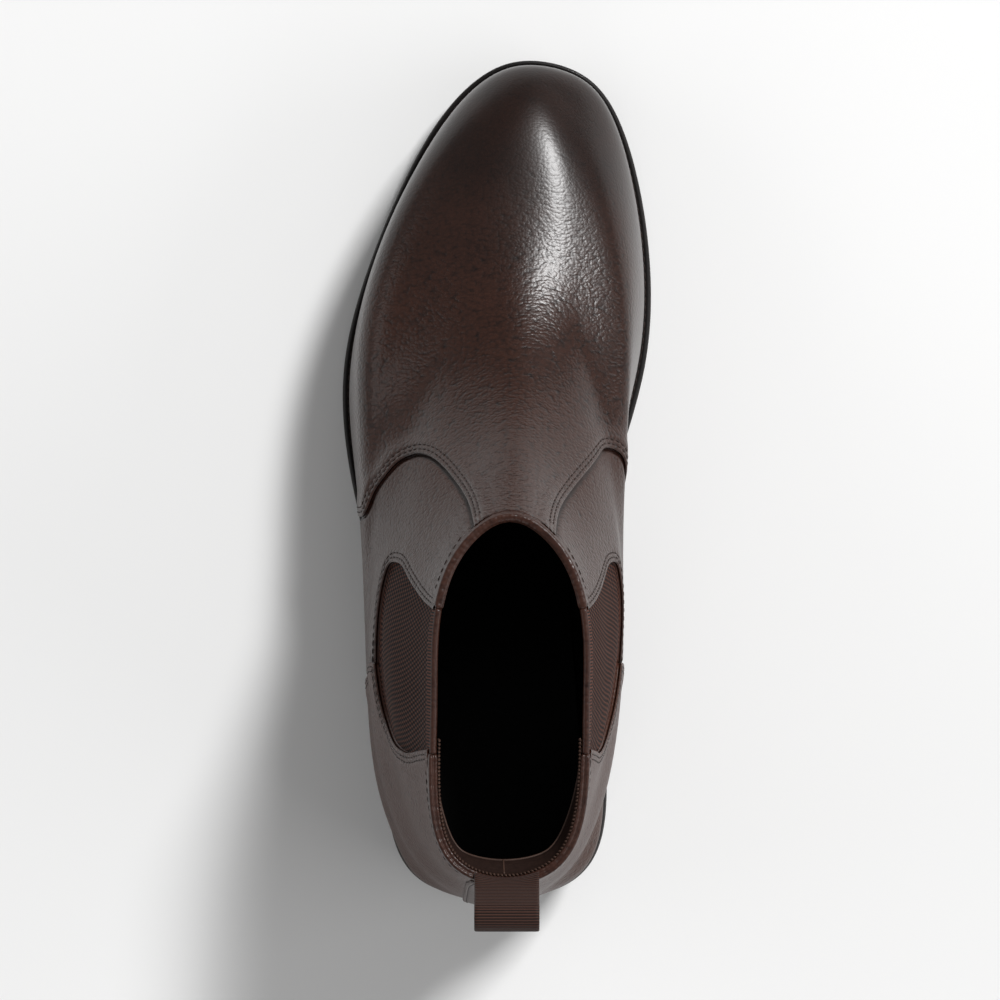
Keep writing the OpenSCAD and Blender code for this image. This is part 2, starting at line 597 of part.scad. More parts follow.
module stitching_welt() {
    color(THREAD_DARK) place()
        ring_layer(WELT_ROW, WELT_ROW + THREAD_W, WELT_TOP + 0.02, WELT_TOP + 0.22, HEEL_BREAST, 350);
}

// ---------- placing: the origin is under the middle of the whole boot ----------
OUTLINE_XS = [for (a = [0:OUTLINE_STEP:359]) outline(a)[0]];
SHIFT_X = (max(OUTLINE_XS) + min(OUTLINE_XS)) / 2;
TAB_BACK = HINGE[1] - LOOP_REACH * sin(LOOP_LEAN) - tab_r;
SHIFT_Y = (sole_l + min(0, TAB_BACK)) / 2;
module place() { translate([-SHIFT_X, -SHIFT_Y, 0]) children(); }

outsole();
welt();
heel_rand();
heel_lift_1();
heel_lift_2();
heel_lift_3();
heel_lift_4();
heel_top_piece();
heel_nails();
steel_shank();
cork_filler();
insole_rib();
insole_board();
sock_liner();
vamp();
quarter_front_lateral();
quarter_front_medial();
quarter_back_lateral();
quarter_back_medial();
gore_lateral();
gore_medial();
backstay();
collar_binding_front();
collar_binding_back();
toe_puff();
heel_counter();
lining_front();
lining_back();
heel_grip();
pull_tab_base();
pull_tab();
stitching_welt();
stitching_vamp();
stitching_gore();
stitching_side_seam();
stitching_backstay();
stitching_topline();
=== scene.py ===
"""Chelsea boot, left foot: the looks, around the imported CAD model.

The upper is drawn on the same surface as the CAD model: skin(th, t), where th runs from the toe (0)
round the inner side (90) to the heel (180) and on round the outer side, and t from the welt (0) to the
topline (1). That surface is worked out in millimetres, from the heel of the sole, and placed in metres.
"""
import math

import bmesh
import bpy
import mathutils
import numpy as np
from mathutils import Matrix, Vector


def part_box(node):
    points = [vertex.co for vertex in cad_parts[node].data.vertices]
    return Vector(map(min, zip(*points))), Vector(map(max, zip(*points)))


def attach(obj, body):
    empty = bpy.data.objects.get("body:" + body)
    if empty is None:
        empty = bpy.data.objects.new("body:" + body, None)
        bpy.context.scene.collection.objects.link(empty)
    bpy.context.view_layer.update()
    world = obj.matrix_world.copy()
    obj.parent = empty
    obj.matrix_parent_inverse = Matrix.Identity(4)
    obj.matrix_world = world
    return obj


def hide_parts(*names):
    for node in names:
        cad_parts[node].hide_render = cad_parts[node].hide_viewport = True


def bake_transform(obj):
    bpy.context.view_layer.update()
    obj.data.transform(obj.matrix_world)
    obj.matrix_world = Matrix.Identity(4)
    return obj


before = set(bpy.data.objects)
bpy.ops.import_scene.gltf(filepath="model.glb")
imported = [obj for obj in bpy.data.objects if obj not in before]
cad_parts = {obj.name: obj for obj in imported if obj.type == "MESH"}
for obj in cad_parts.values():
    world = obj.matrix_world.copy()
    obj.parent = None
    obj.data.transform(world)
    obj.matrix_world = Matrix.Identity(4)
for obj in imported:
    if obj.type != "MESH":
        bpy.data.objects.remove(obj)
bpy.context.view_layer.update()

MM = 0.001

# ---- the boot's surface, as in the CAD model
SOLE_L = 305.0
HEEL_H = 27.0
TOE_SPRING = 12.0
OUTSOLE_T = 4.5
WELT_T = 3.2
LAYER_GAP = 0.25        # between the welt and the upper
FEATHER_INSET = 5.0     # the upper's foot, in from the sole's edge
BULGE_INSET = 3.0       # the swell above it
HEEL_SWELL = 1.5        # by this much further out round the heel
BULGE_RISE = 14.0
HEEL_BREAST = 72.0
SWELL_START = 80.0
WAIST_END = 165.0
SPRING_START = 200.0
PLAN_STEP = 15          # degrees between the outline's points
PLAN_X = np.array([12, 31.5, 44.2, 52, 56.3, 54, 43, 36, 38, 39.8, 37.4, 25, 0,
                   -25, -37, -40.8, -42, -45, -53.5, -56.3, -47.6, -34.6, -20.5, -5])
HALF_STEP = 22.5
# y back, z back, y front, z front, x back, x front, bow, half widths every 22.5 degrees
RINGS = [
    (0.8, 62, 296, 43, 0, 11, -8.6, [18.5, 37.5, 49.2, 46.5, 42.8, 40.3, 26.5]),
    (1.8, 76, 278, 53, 0, 10, -4.6, [13.5, 27.5, 42, 44.8, 44.6, 39.5, 24]),
    (4.5, 91, 243, 60.5, 0, 8.5, -3.6, [11, 23.5, 36.5, 43.4, 44.2, 37.6, 24.3]),
    (7.5, 107, 205, 74, 0.5, 7, -2.4, [12.2, 26.2, 37, 43, 40, 33, 21]),
    (10.5, 123, 172, 100, 1, 6, -1.7, [11.5, 25.5, 35.3, 39, 36.3, 29.5, 19]),
    (12.5, 139, 153, 126, 2, 5, 0, [10.8, 22.6, 31.6, 33.2, 31.3, 26.5, 18.5]),
    (14, 155, 139.5, 150, 3, 4.6, 0.8, [11.5, 21.8, 26.6, 27, 27, 24.7, 16])]
HALVES = [np.array([0] + r[7] + [0] + [-h for h in reversed(r[7])], float) for r in RINGS]
LAST = len(RINGS) + 1   # number of the top ring; rings 0 and 1 are the foot and the swell


def slope_weights(n, closed):
    """The smoothest curve through n even points: its slopes at them, as weights on the points."""
    left, right = np.eye(n) * 4, np.zeros((n, n))
    for i in range(n):
        for k, sign in ((i - 1, -1), (i + 1, 1)):
            if closed or 0 <= k < n:
                left[i, k % n] += 1
                right[i, k % n] += 3 * sign
    if not closed:
        left[0, 0] = left[-1, -1] = 2
        right[0, :2] = right[-1, -2:] = (-3, 3)
    return np.linalg.solve(left, right)


def hermite(a, b, slope_a, slope_b, s):
    turn = 3 * (b - a) - 2 * slope_a - slope_b
    return a + s * (slope_a + s * (turn + s * (2 * (a - b) + slope_a + slope_b)))


def round_table(v, u):
    i = np.floor(u).astype(int)
    slopes = slope_weights(len(v), True) @ v
    j, k = i % len(v), (i + 1) % len(v)
    return hermite(v[j], v[k], slopes[j], slopes[k], u - i)


def ease(a, b, v):
    s = np.clip((np.asarray(v, float) - a) / (b - a), 0, 1)
    return s * s * (3 - 2 * s)


def unit(v):
    return v / np.maximum(np.linalg.norm(v, axis=-1, keepdims=True), 1e-12)


def outline(th):
    return np.stack([round_table(PLAN_X, th / PLAN_STEP), SOLE_L * (1 + np.cos(np.radians(th))) / 2], -1)


def outline_in(th, inset):
    t = unit(outline(th + 0.5) - outline(th - 0.5))
    return outline(th) - np.asarray(inset)[..., None] * np.stack([-t[..., 1], t[..., 0]], -1)


def sole_z(y):
    return HEEL_H * (1 - ease(HEEL_BREAST, WAIST_END, y)) \
        + TOE_SPRING * np.clip((y - SPRING_START) / (SOLE_L - SPRING_START), 0, 1) ** 2


def feather_z(y):
    return sole_z(y) + OUTSOLE_T + WELT_T + LAYER_GAP


def ring_point(k, th):
    if k < 2:
        y = outline(th)[..., 1]
        bulge = BULGE_INSET - HEEL_SWELL * (1 - ease(SWELL_START, WAIST_END, y))
        p = outline_in(th, FEATHER_INSET if k == 0 else bulge)
        z = feather_z(p[..., 1]) + (0 if k == 0 else BULGE_RISE)
        return np.stack([p[..., 0], p[..., 1], z], -1)
    yb, zb, yf, zf, xb, xf, bow, _ = RINGS[k - 2]
    s = (1 + np.cos(np.radians(th))) / 2
    x = xb + (xf - xb) * s + 4 * bow * s * (1 - s) + round_table(HALVES[k - 2], th / HALF_STEP)
    return np.stack([x, yb + (yf - yb) * s, zb + (zf - zb) * s], -1)


def skin(th, t):
    """The surface's points, in millimetres from the heel of the sole."""
    th, t = np.broadcast_arrays(np.asarray(th, float), np.asarray(t, float))
    rings = np.stack([ring_point(k, th) for k in range(LAST + 1)])
    slopes = np.tensordot(slope_weights(LAST + 1, False), rings, 1)
    i = np.clip(np.floor(t * LAST).astype(int), 0, LAST - 1)
    ends = [np.take_along_axis(v, (i + k)[None, ..., None], 0)[0] for v in (rings, slopes) for k in (0, 1)]
    return hermite(*ends, (t * LAST - i)[..., None])


D_TH = 0.6              # degrees and share of height over which slopes are taken
D_T = 0.008


def skin_frame(th, t):
    """Point, outward normal, step along th per degree, step along t."""
    p = skin(th, t)
    across = (skin(th + D_TH, t) - skin(th - D_TH, t)) / (2 * D_TH)
    upward = (skin(th, t + D_T) - skin(th, t - D_T)) / (2 * D_T)
    return p, unit(np.cross(upward, across)), across, upward


# The CAD model's origin is under the middle of the boot.
outline_xs = outline(np.arange(0, 360, 5.0))[:, 0]
SHIFT = np.array([(outline_xs.max() + outline_xs.min()) / 2, -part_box("outsole")[0][1] / MM, 0.0])


def placed(p):
    """Millimetres from the heel of the sole to metres in the CAD frame."""
    return (np.asarray(p) - SHIFT) * MM


# ---- seams: [t, degrees from the toe]
VAMP_SEAM = {
    -1: [(0, 96), (0.15, 95), (0.31, 92.5), (0.36, 88.5), (0.46, 79.5), (0.52, 71.5),
         (0.6, 60.5), (0.66, 50.5), (0.73, 40.5), (0.835, 32), (1, 23.5)],
    1: [(0, 96), (0.15, 95.5), (0.3, 89), (0.37, 83.5), (0.46, 75), (0.575, 62.5),
        (0.63, 56), (0.68, 50), (0.75, 42), (0.85, 35), (1, 29.5)]}
GORE_BOTTOM = 0.578
GORE_FRONT = [(GORE_BOTTOM, 104), (0.6, 95), (0.622, 88), (0.641, 80.5), (0.69, 73.5), (0.75, 68.5),
              (0.82, 66.5), (0.92, 64.5), (1, 61.5)]
GORE_BACK = [(GORE_BOTTOM, 104), (0.591, 108), (0.625, 112), (0.7, 113.5), (0.82, 112.5),
             (0.9, 109.5), (1, 105.5)]
SIDE_SEAM = [(0, 121), (0.3, 116.5), (GORE_BOTTOM, 104)]


def seam(table, t):
    """A smooth curve through a seam's points, without overshoot, running on straight past its ends."""
    x, y = np.array(table, float).T
    h, slope = np.diff(x), np.diff(y) / np.diff(x)
    m = np.concatenate([[slope[0]], np.zeros(len(x) - 2), [slope[-1]]])
    for k in range(1, len(x) - 1):
        if slope[k - 1] * slope[k] > 0:
            w1, w2 = 2 * h[k] + h[k - 1], h[k] + 2 * h[k - 1]
            m[k] = (w1 + w2) / (w1 / slope[k - 1] + w2 / slope[k])
    t = np.asarray(t, float)
    i = np.clip(np.searchsorted(x, t) - 1, 0, len(x) - 2)
    s = (np.clip(t, x[0], x[-1]) - x[i]) / h[i]
    inside = ((1 + 2 * s) * (1 - s) ** 2 * y[i] + s * (1 - s) ** 2 * h[i] * m[i]
              + s * s * (3 - 2 * s) * y[i + 1] + s * s * (s - 1) * h[i] * m[i + 1])
    return inside + m[0] * np.minimum(t - x[0], 0) + m[-1] * np.maximum(t - x[-1], 0)


SMOOTHING = np.linspace(-1, 1, 7)


def smooth_seam(table, t, width=0.012):
    """The seam with its corners eased, by averaging it over a short stretch."""
    return sum(seam(table, t + width * w) for w in SMOOTHING) / len(SMOOTHING)


def gore_front(t):
    return smooth_seam(GORE_FRONT, t)


def gore_back(t):
    return smooth_seam(GORE_BACK, t)


def front_edge(t):
    return np.where(t < GORE_BOTTOM, seam(SIDE_SEAM, t), gore_front(t))


def back_edge(t):
    return np.where(t < GORE_BOTTOM, seam(SIDE_SEAM, t), gore_back(t))


# ---- mesh helpers
def make_object(name, points, faces, material, smooth=True, cloth=None, grain=None):
    """A mesh object. Each point may have cloth, (across, along, share of ribs), and a strength of grain."""
    mesh = bpy.data.meshes.new(name)
    mesh.from_pydata(np.asarray(points, float).tolist(), [], [tuple(int(i) for i in f) for f in faces])
    if cloth is not None:
        layer = mesh.attributes.new("cloth", "FLOAT_VECTOR", "POINT")
        layer.data.foreach_set("vector", np.asarray(cloth, float).ravel())
    if grain is not None:
        layer = mesh.attributes.new("grain", "FLOAT", "POINT")
        layer.data.foreach_set("value", np.asarray(grain, float).ravel())
    mesh.polygons.foreach_set("use_smooth", [smooth] * len(mesh.polygons))
    mesh.update()
    obj = bpy.data.objects.new(name, mesh)
    bpy.context.scene.collection.objects.link(obj)
    obj.data.materials.append(material)
    return obj


def grid_faces(m, n, start=0, flip=False, wrap_m=False, wrap_n=False):
    i = np.arange(m if wrap_m else m - 1)[:, None]
    j = np.arange(n if wrap_n else n - 1)[None]
    i2, j2 = (i + 1) % m, (j + 1) % n
    quads = np.stack(np.broadcast_arrays(i * n + j, i * n + j2, i2 * n + j2, i2 * n + j), -1).reshape(-1, 4)
    return (quads[:, ::-1] if flip else quads) + start


def shell_object(name, th, t, inner, outer, material, cloth=None, grain=None):
    """A closed sheet on the skin between two offsets; th, t, inner and outer are grids, rows up the skin."""
    if th[0, -1] < th[0, 0]:
        th, t, inner, outer = (a[:, ::-1] for a in (th, t, inner, outer))
        cloth = None if cloth is None else cloth[:, ::-1]
        grain = None if grain is None else grain[:, ::-1]
    m, n = th.shape
    p, normal, _, _ = skin_frame(th, t)
    points = np.concatenate([(p + outer[..., None] * normal).reshape(-1, 3),
                             (p + inner[..., None] * normal).reshape(-1, 3)])
    k = m * n
    low, high = np.arange(n), (m - 1) * n + np.arange(n)
    left, right = np.arange(m) * n, np.arange(m) * n + n - 1
    sides = [np.stack([a[1:], a[:-1], a[:-1] + k, a[1:] + k], -1) for a in (high, left)]
    sides += [np.stack([a[:-1], a[1:], a[1:] + k, a[:-1] + k], -1) for a in (low, right)]
    faces = np.concatenate([grid_faces(m, n), grid_faces(m, n, start=k, flip=True)] + sides)

    def both(values, width):
        return None if values is None else np.concatenate([values.reshape(-1, width)] * 2)
    return make_object(name, placed(points), faces, material, cloth=both(cloth, 3), grain=both(grain, 1))


def seam_row(th, t, distance, height=0.0):
    """Points and normals of a row beside a seam; a positive distance is towards greater th."""
    p, normal, across, upward = skin_frame(th, t)
    along = unit(np.gradient(p, axis=0))
    side = np.cross(normal, along)

    def dot(a, b):
        return (a * b).sum(-1)
    aa, uu, au = dot(across, across), dot(upward, upward), dot(across, upward)
    sa, su = dot(side, across), dot(side, upward)
    det = aa * uu - au * au
    th = th + distance * (sa * uu - su * au) / det
    t = t + distance * (su * aa - sa * au) / det
    p, normal, _, _ = skin_frame(th, t)
    return p + height * normal, normal


CHUNK = 2000            # points measured at a time


def line_distance(points, line):
    """Shortest distance from each point to a finely drawn line."""
    flat = points.reshape(-1, 3)
    best = np.empty(len(flat))
    for start in range(0, len(flat), CHUNK):
        block = flat[start:start + CHUNK]
        i = np.argmin(((block[:, None] - line[None]) ** 2).sum(-1), axis=1)
        found = np.full(len(block), np.inf)
        for j in (np.maximum(i - 1, 0), np.minimum(i, len(line) - 2)):
            a, ab = line[j], line[j + 1] - line[j]
            s = np.clip(((block - a) * ab).sum(-1) / (ab * ab).sum(-1), 0, 1)
            found = np.minimum(found, np.linalg.norm(block - a - s[:, None] * ab, axis=-1))
        best[start:start + CHUNK] = found
    return best.reshape(points.shape[:-1])


def lengths_along(points, axis=0):
    """Length run from the start of each row of points."""
    steps = np.linalg.norm(np.diff(points, axis=axis), axis=-1)
    return np.concatenate([np.zeros_like(steps.take([0], axis)), np.cumsum(steps, axis)], axis)


def even_steps(points, spacing):
    """Places along a polyline, as fractional indices, about spacing apart."""
    lengths = lengths_along(points)
    count = max(2, int(round(lengths[-1] / spacing)) + 1)
    return np.interp(np.linspace(0, lengths[-1], count), lengths, np.arange(len(points)))


MERGE = 1e-7            # metres


def fix_normals(obj):
    bm = bmesh.new()
    bm.from_mesh(obj.data)
    bmesh.ops.remove_doubles(bm, verts=bm.verts, dist=MERGE)
    bmesh.ops.recalc_face_normals(bm, faces=bm.faces)
    bm.to_mesh(obj.data)
    bm.free()


def sweep_object(name, points, material, cloth=None):
    """Joins the loops in points (stations, loop, 3), in millimetres, into a closed skin."""
    m, n = points.shape[:2]
    faces = grid_faces(m, n, wrap_n=True).tolist()
    faces += [list(range(n))[::-1], [(m - 1) * n + j for j in range(n)]]
    obj = make_object(name, placed(points.reshape(-1, 3)), faces, material,
                      cloth=None if cloth is None else cloth.reshape(-1, 3))
    fix_normals(obj)
    return obj


STITCH_AROUND = 6
STITCH_ALONG = 5
STITCH_SWELL = 0.85


def stitches_object(name, rows, material, pitch=2.9, length=2.35, width=0.5, height=0.3, slant=0.0):
    """Separate stitches along rows; a row is (points, normals) in millimetres."""
    points, faces = [], []
    a = np.linspace(-1, 1, STITCH_ALONG)[:, None, None]
    around = (np.arange(STITCH_AROUND) * 2 * math.pi / STITCH_AROUND)[None, :, None]
    swell = np.sqrt(1 - STITCH_SWELL * a * a)
    for p, normal in rows:
        places = even_steps(p, pitch)
        places = (places[:-1] + places[1:]) / 2
        i = np.clip(places.astype(int), 0, len(p) - 2)
        s = (places - i)[:, None]
        for centre, along, up in zip(p[i] * (1 - s) + p[i + 1] * s, unit(p[i + 1] - p[i]),
                                     unit(normal[i] * (1 - s) + normal[i + 1] * s)):
            side = np.cross(along, up)
            run = along * math.cos(slant) + side * math.sin(slant)
            cross = np.cross(run, up)
            shape = (centre + run * a * length / 2 + cross * np.cos(around) * width / 2 * swell
                     + up * (np.sin(around) * height * swell - 0.5 * height * a ** 4))
            base = len(points) * STITCH_AROUND * STITCH_ALONG
            points.append(shape.reshape(-1, 3))
            faces += grid_faces(STITCH_ALONG, STITCH_AROUND, start=base, wrap_n=True).tolist()
            faces.append([base + b for b in range(STITCH_AROUND)][::-1])
            faces.append([base + (STITCH_ALONG - 1) * STITCH_AROUND + b for b in range(STITCH_AROUND)])
    obj = make_object(name, placed(np.concatenate(points)), faces, material)
    fix_normals(obj)
    return obj


# ---- materials
class Shading:
    """A Principled material and the nodes that feed it. In names of sockets _ stands for a space."""

    def __init__(self, name, colour, roughness, **sockets):
        self.material = bpy.data.materials.new(name)
        self.material.use_nodes = True
        self.nodes = self.material.node_tree.nodes
        self.links = self.material.node_tree.links
        self.shader = self.nodes["Principled BSDF"]
        self.put(self.shader, Base_Color=(*colour, 1), Roughness=roughness, **sockets)

    def fill(self, socket, value):
        """Links an output to a socket, or sets the socket's own value."""
        if isinstance(value, bpy.types.NodeSocket):
            self.links.new(value, socket)
        else:
            socket.default_value = value

    def put(self, target, **sockets):
        for key, value in sockets.items():
            self.fill(target.inputs[key.replace("_", " ")], value)
        return target.outputs

    def add(self, kind, **sockets):
        return self.put(self.nodes.new("ShaderNode" + kind), **sockets)

    def math(self, operation, *values, kind="Math"):
        n = self.nodes.new("ShaderNode" + kind)
        n.operation = operation
        for socket, value in zip(n.inputs, values):
            self.fill(socket, value)
        return n.outputs[0]

    def attribute(self, name):
        n = self.nodes.new("ShaderNodeAttribute")
        n.attribute_name = name
        return n.outputs

    def places(self, scale):
        """Places on the object in metres, times the scale."""
        return self.add("Mapping", Vector=self.add("TexCoord")["Object"], Scale=[scale] * 3)["Vector"]

    def noise(self, scale, **sockets):
        return self.add("TexNoise", Vector=self.places(1), Scale=scale, **sockets)["Fac"]

    def bump(self, height, strength, distance):
        return self.add("Bump", Height=height, Strength=strength, Distance=distance)["Normal"]

    def tint(self, level, low, dark, high, light):
        """Colours the surface from dark to light as the level goes from low to high."""
        n = self.nodes.new("ShaderNodeValToRGB")
        for element, place, colour in zip(n.color_ramp.elements, (low, high), (dark, light)):
            element.position = place
            element.color = (*colour, 1)
        self.put(self.shader, Base_Color=self.put(n, Fac=level)["Color"])


PEBBLE = (1.9, 1.15, 1.3)       # millimetres across, along and up
FINE_PEBBLE = (1.0, 0.8, 0.8)
SWAY = (2.4, 2.0, 2.4)          # millimetres by which slow noise moves the pebbles about
UNMAPPED_GRAIN = 0.5


def leather(name, dark, light, roughness, coat=0.22, coat_roughness=0.24, relief=0.0001, mapped=True):
    """Pebbled leather, its relief scaled by the mesh's grain attribute where it is mapped, its colour
    darkened in the pebbles' valleys as painted shade.
    """
    look = Shading(name, dark, roughness, Coat_Weight=coat, Coat_Roughness=coat_roughness,
                   Specular_IOR_Level=0.16)
    lengths = look.places(1 / MM)
    slow = look.add("TexNoise", Vector=lengths, Scale=0.12, Detail=1.0)["Color"]
    moved = look.math("MULTIPLY_ADD", slow, SWAY, lengths, kind="VectorMath")

    def lumps(size, smoothness):
        """Rounded cells, 1 in their middles."""
        scaled = look.add("Mapping", Vector=moved, Scale=[1 / v for v in size])["Vector"]
        cells = look.nodes.new("ShaderNodeTexVoronoi")
        cells.feature = "SMOOTH_F1"
        look.put(cells, Vector=scaled, Scale=1.0, Smoothness=smoothness, Randomness=0.85)
        distance = cells.outputs["Distance"]
        return look.math("MULTIPLY_ADD", look.math("MULTIPLY", distance, distance), -1.7, 1.0)
    large = lumps(PEBBLE, 0.8)
    small = lumps(FINE_PEBBLE, 0.6)
    strength = look.attribute("grain")["Fac"] if mapped else UNMAPPED_GRAIN
    height = look.math("MULTIPLY", look.math("MULTIPLY_ADD", small, 0.35, large), strength)
    height = look.math("MULTIPLY_ADD", small, 0.12, height)
    height = look.math("MULTIPLY_ADD", look.noise(3000.0, Detail=2.0), 0.05, height)
    normal = look.bump(height, 1.0, relief)
    patches = look.noise(34.0, Detail=5.0, Roughness=0.6)
    # painted shade: half of the colour follows the relief, darker in the pebbles' valleys; the other half is
    # random patches of tone
    valley_shade_and_patches = look.math("MULTIPLY_ADD", height, 0.5, look.math("MULTIPLY", patches, 0.5))
    look.tint(valley_shade_and_patches, 0.2, dark, 0.85, light)
    rough = look.add("MapRange", Value=patches, To_Min=roughness - 0.05, To_Max=roughness + 0.07)["Result"]
    look.put(look.shader, Normal=normal, Coat_Normal=normal, Roughness=rough)
    return look.material


def plain_grain(name, dark, light, roughness, scale=900.0, depth=0.00012, **sockets):
    """A fine noise grain, for edges, rubber, board and thread."""
    look = Shading(name, dark, roughness, Specular_IOR_Level=0.25, **sockets)
    fine = look.noise(scale, Detail=4.0, Roughness=0.65)
    broad = look.noise(scale / 18, Detail=3.0)
    look.tint(look.math("MULTIPLY_ADD", fine, 0.5, look.math("MULTIPLY", broad, 0.5)), 0.3, dark, 0.7, light)
    look.put(look.shader, Normal=look.bump(fine, 0.5, depth))
    return look.material


WEAVE_PITCH = (0.85, 1.9)       # millimetres, for the gore's diamonds
RIB_PITCH = 1.1                 # across the band at the top of the gore
RIB_STEP = 0.85                 # along the pull tab's ribbon


def woven(name, low, high, roughness, rib_axis, rib_pitch, sheen):
    """A weave from the cloth lengths in the mesh: diamonds, or ribs where the third value is 1."""
    look = Shading(name, low, roughness, Specular_IOR_Level=0.12, Sheen_Weight=sheen, Sheen_Roughness=0.5)
    cloth = look.add("SeparateXYZ", Vector=look.attribute("cloth")["Vector"])

    def wave(axis, length):
        return look.math("COSINE", look.math("MULTIPLY", cloth[axis], math.pi / length))
    diamonds = look.math("MULTIPLY", wave("X", WEAVE_PITCH[0]), wave("Y", WEAVE_PITCH[1]))
    gap = look.math("SUBTRACT", wave(rib_axis, rib_pitch / 2), diamonds)
    cells = look.math("MULTIPLY_ADD", gap, cloth["Z"], diamonds)
    level = look.math("MULTIPLY_ADD", cells, 0.5, 0.5)
    hair = look.noise(2400.0, Detail=3.0)
    tone = look.math("MULTIPLY_ADD", hair, 0.4, look.math("MULTIPLY", level, 0.7))
    look.tint(look.math("MULTIPLY_ADD", cloth["Z"], 0.12, tone), 0.48, low, 0.86, high)
    look.put(look.shader, Normal=look.bump(look.math("MULTIPLY_ADD", hair, 0.6, level), 0.6, 0.0001))
    return look.material


UPPER_TONES = (0.0040, 0.0012, 0.0007), (0.032, 0.0108, 0.0060)
UPPER = leather("upper_leather", *UPPER_TONES, 0.36)
VAMP = leather("vamp_leather", *UPPER_TONES, 0.34, coat=0.5, coat_roughness=0.28)
BACK = leather("back_leather", (0.0065, 0.0020, 0.0012), (0.050, 0.0180, 0.0105), 0.4, coat=0.1)
SMOOTH = leather("binding_leather", (0.012, 0.0042, 0.0028), (0.060, 0.0240, 0.0160), 0.38, coat=0.22,
                 relief=0.00012, mapped=False)
WELT = plain_grain("welt_leather", (0.0030, 0.0022, 0.0020), (0.008, 0.006, 0.0055), 0.5, Coat_Weight=0.05)
SOLE = plain_grain("sole_leather", (0.010, 0.0065, 0.005), (0.022, 0.014, 0.011), 0.5)
RUBBER = plain_grain("heel_rubber", (0.006, 0.006, 0.0062), (0.012, 0.012, 0.012), 0.62, scale=1500.0)
THREAD = plain_grain("thread", (0.010, 0.005, 0.004), (0.030, 0.016, 0.012), 0.45, scale=5000.0)
LINING = plain_grain("lining_textile", (0.0018, 0.0018, 0.002), (0.0045, 0.0045, 0.0048), 0.9, scale=2600.0)
SOCK = plain_grain("sock_leather", (0.002, 0.002, 0.0022), (0.005, 0.005, 0.0052), 0.7, scale=1700.0)
BOARD = plain_grain("fibreboard", (0.25, 0.16, 0.09), (0.42, 0.29, 0.18), 0.8)
CORK = plain_grain("cork", (0.16, 0.08, 0.035), (0.42, 0.25, 0.12), 0.85, scale=420.0, depth=0.0004)
STEEL = plain_grain("shank_steel", (0.35, 0.36, 0.38), (0.5, 0.51, 0.53), 0.35, Metallic=1.0)
BRASS = plain_grain("brass_nail", (0.42, 0.27, 0.08), (0.6, 0.42, 0.16), 0.35, Metallic=1.0)
HEEL = plain_grain("heel_stack", (0.009, 0.0055, 0.0042), (0.02, 0.012, 0.009), 0.4, Coat_Weight=0.3)
GRIP = leather("heel_grip_leather", (0.012, 0.006, 0.0045), (0.024, 0.012, 0.009), 0.6, coat=0.0,
               mapped=False)
CORD = plain_grain("edge_thread", (0.035, 0.018, 0.013), (0.075, 0.042, 0.031), 0.5, scale=4000.0)
GORE = woven("gore_elastic", (0.0010, 0.0006, 0.0005), (0.100, 0.034, 0.021), 0.7, "X", RIB_PITCH, sheen=0.0)
WEBBING = woven("tab_webbing", (0.006, 0.0026, 0.0020), (0.052, 0.022, 0.015), 0.5, "Y", RIB_STEP, sheen=0.1)
BODY = "boot"


def finish_piece(obj, slot_name, *nodes):
    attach(obj, BODY)
    if nodes:
        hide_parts(*nodes)
    return obj


# ---- upper panels
ROW_NEAR = 1.6          # millimetres from the edge to the thread rows
ROW_FAR = 3.3
GROOVE = 0.36           # half width of the groove that a thread row presses
LEATHER_T = 1.25
LAP_T = 0.9             # its least thickness, where it is tucked
# distances in from each kind of edge where the mesh has points
LAP_STEPS = [0, 0.12, 0.3, 0.6, 0.95, 1.3, 1.6, 1.9, 2.25, 2.65, 3.0, 3.3, 3.6, 4.0, 4.8, 6, 7.5, 9.5]
TUCK_STEPS = [-1.0, 0, 0.3, 0.6, 1.0, 1.6, 2.3, 3.2, 4.5]
PLAIN_STEPS = [0, 0.2, 0.6, 1.5, 3]
VAMP_LIFT = 0.6         # millimetres over the skin
BACK_LIFT = 0.5
GORE_LIFT = 0.25
TUCK_DROP = 0.9
T_LOW = -0.008          # where the panels begin, below the feather line
TOP_SEAT = 0.988        # and end, under the bindings
ROW_SPACING = 1.35
LINE_SPACING = 0.3


def lapped(d, lift):
    """Height of a lapped edge over the skin, d millimetres in from the edge, with two thread grooves."""
    grooves = sum(np.exp(-((d - row) / GROOVE) ** 2) for row in (ROW_NEAR, ROW_FAR))
    rounding = 0.5 * np.clip(1 - d / 0.55, 0, 1) ** 2.2
    return lift * (1 - ease(4.2, 9.5, d)) - 0.2 * grooves - rounding


def tucked(d, drop):
    """Height of an edge that dives under its neighbour."""
    return -drop * (1 - ease(0.1, 2.4, d))


def plain(d, lift):
    return lift - 0.4 * np.clip(1 - d / 0.5, 0, 1) ** 2


EDGES = {"lapped": (LAP_STEPS, lapped), "tucked": (TUCK_STEPS, tucked), "plain": (PLAIN_STEPS, plain)}


def climb(curves, low, high, spacing):
    """Values of t from low to high, close enough that no curve th(t) has steps over the spacing."""
    t = np.linspace(low, high, 1500)
    steps = np.zeros(len(t) - 1)
    for curve in curves:
        steps = np.maximum(steps, np.linalg.norm(np.diff(skin(curve(t), t), axis=0), axis=1))
    run = np.concatenate([[0], np.cumsum(steps)])
    return np.interp(np.linspace(0, run[-1], int(run[-1] / spacing) + 2), run, t)


def edge_line(curve):
    t = climb([curve], T_LOW - 0.01, 1.01, LINE_SPACING)
    return skin(curve(t), t)


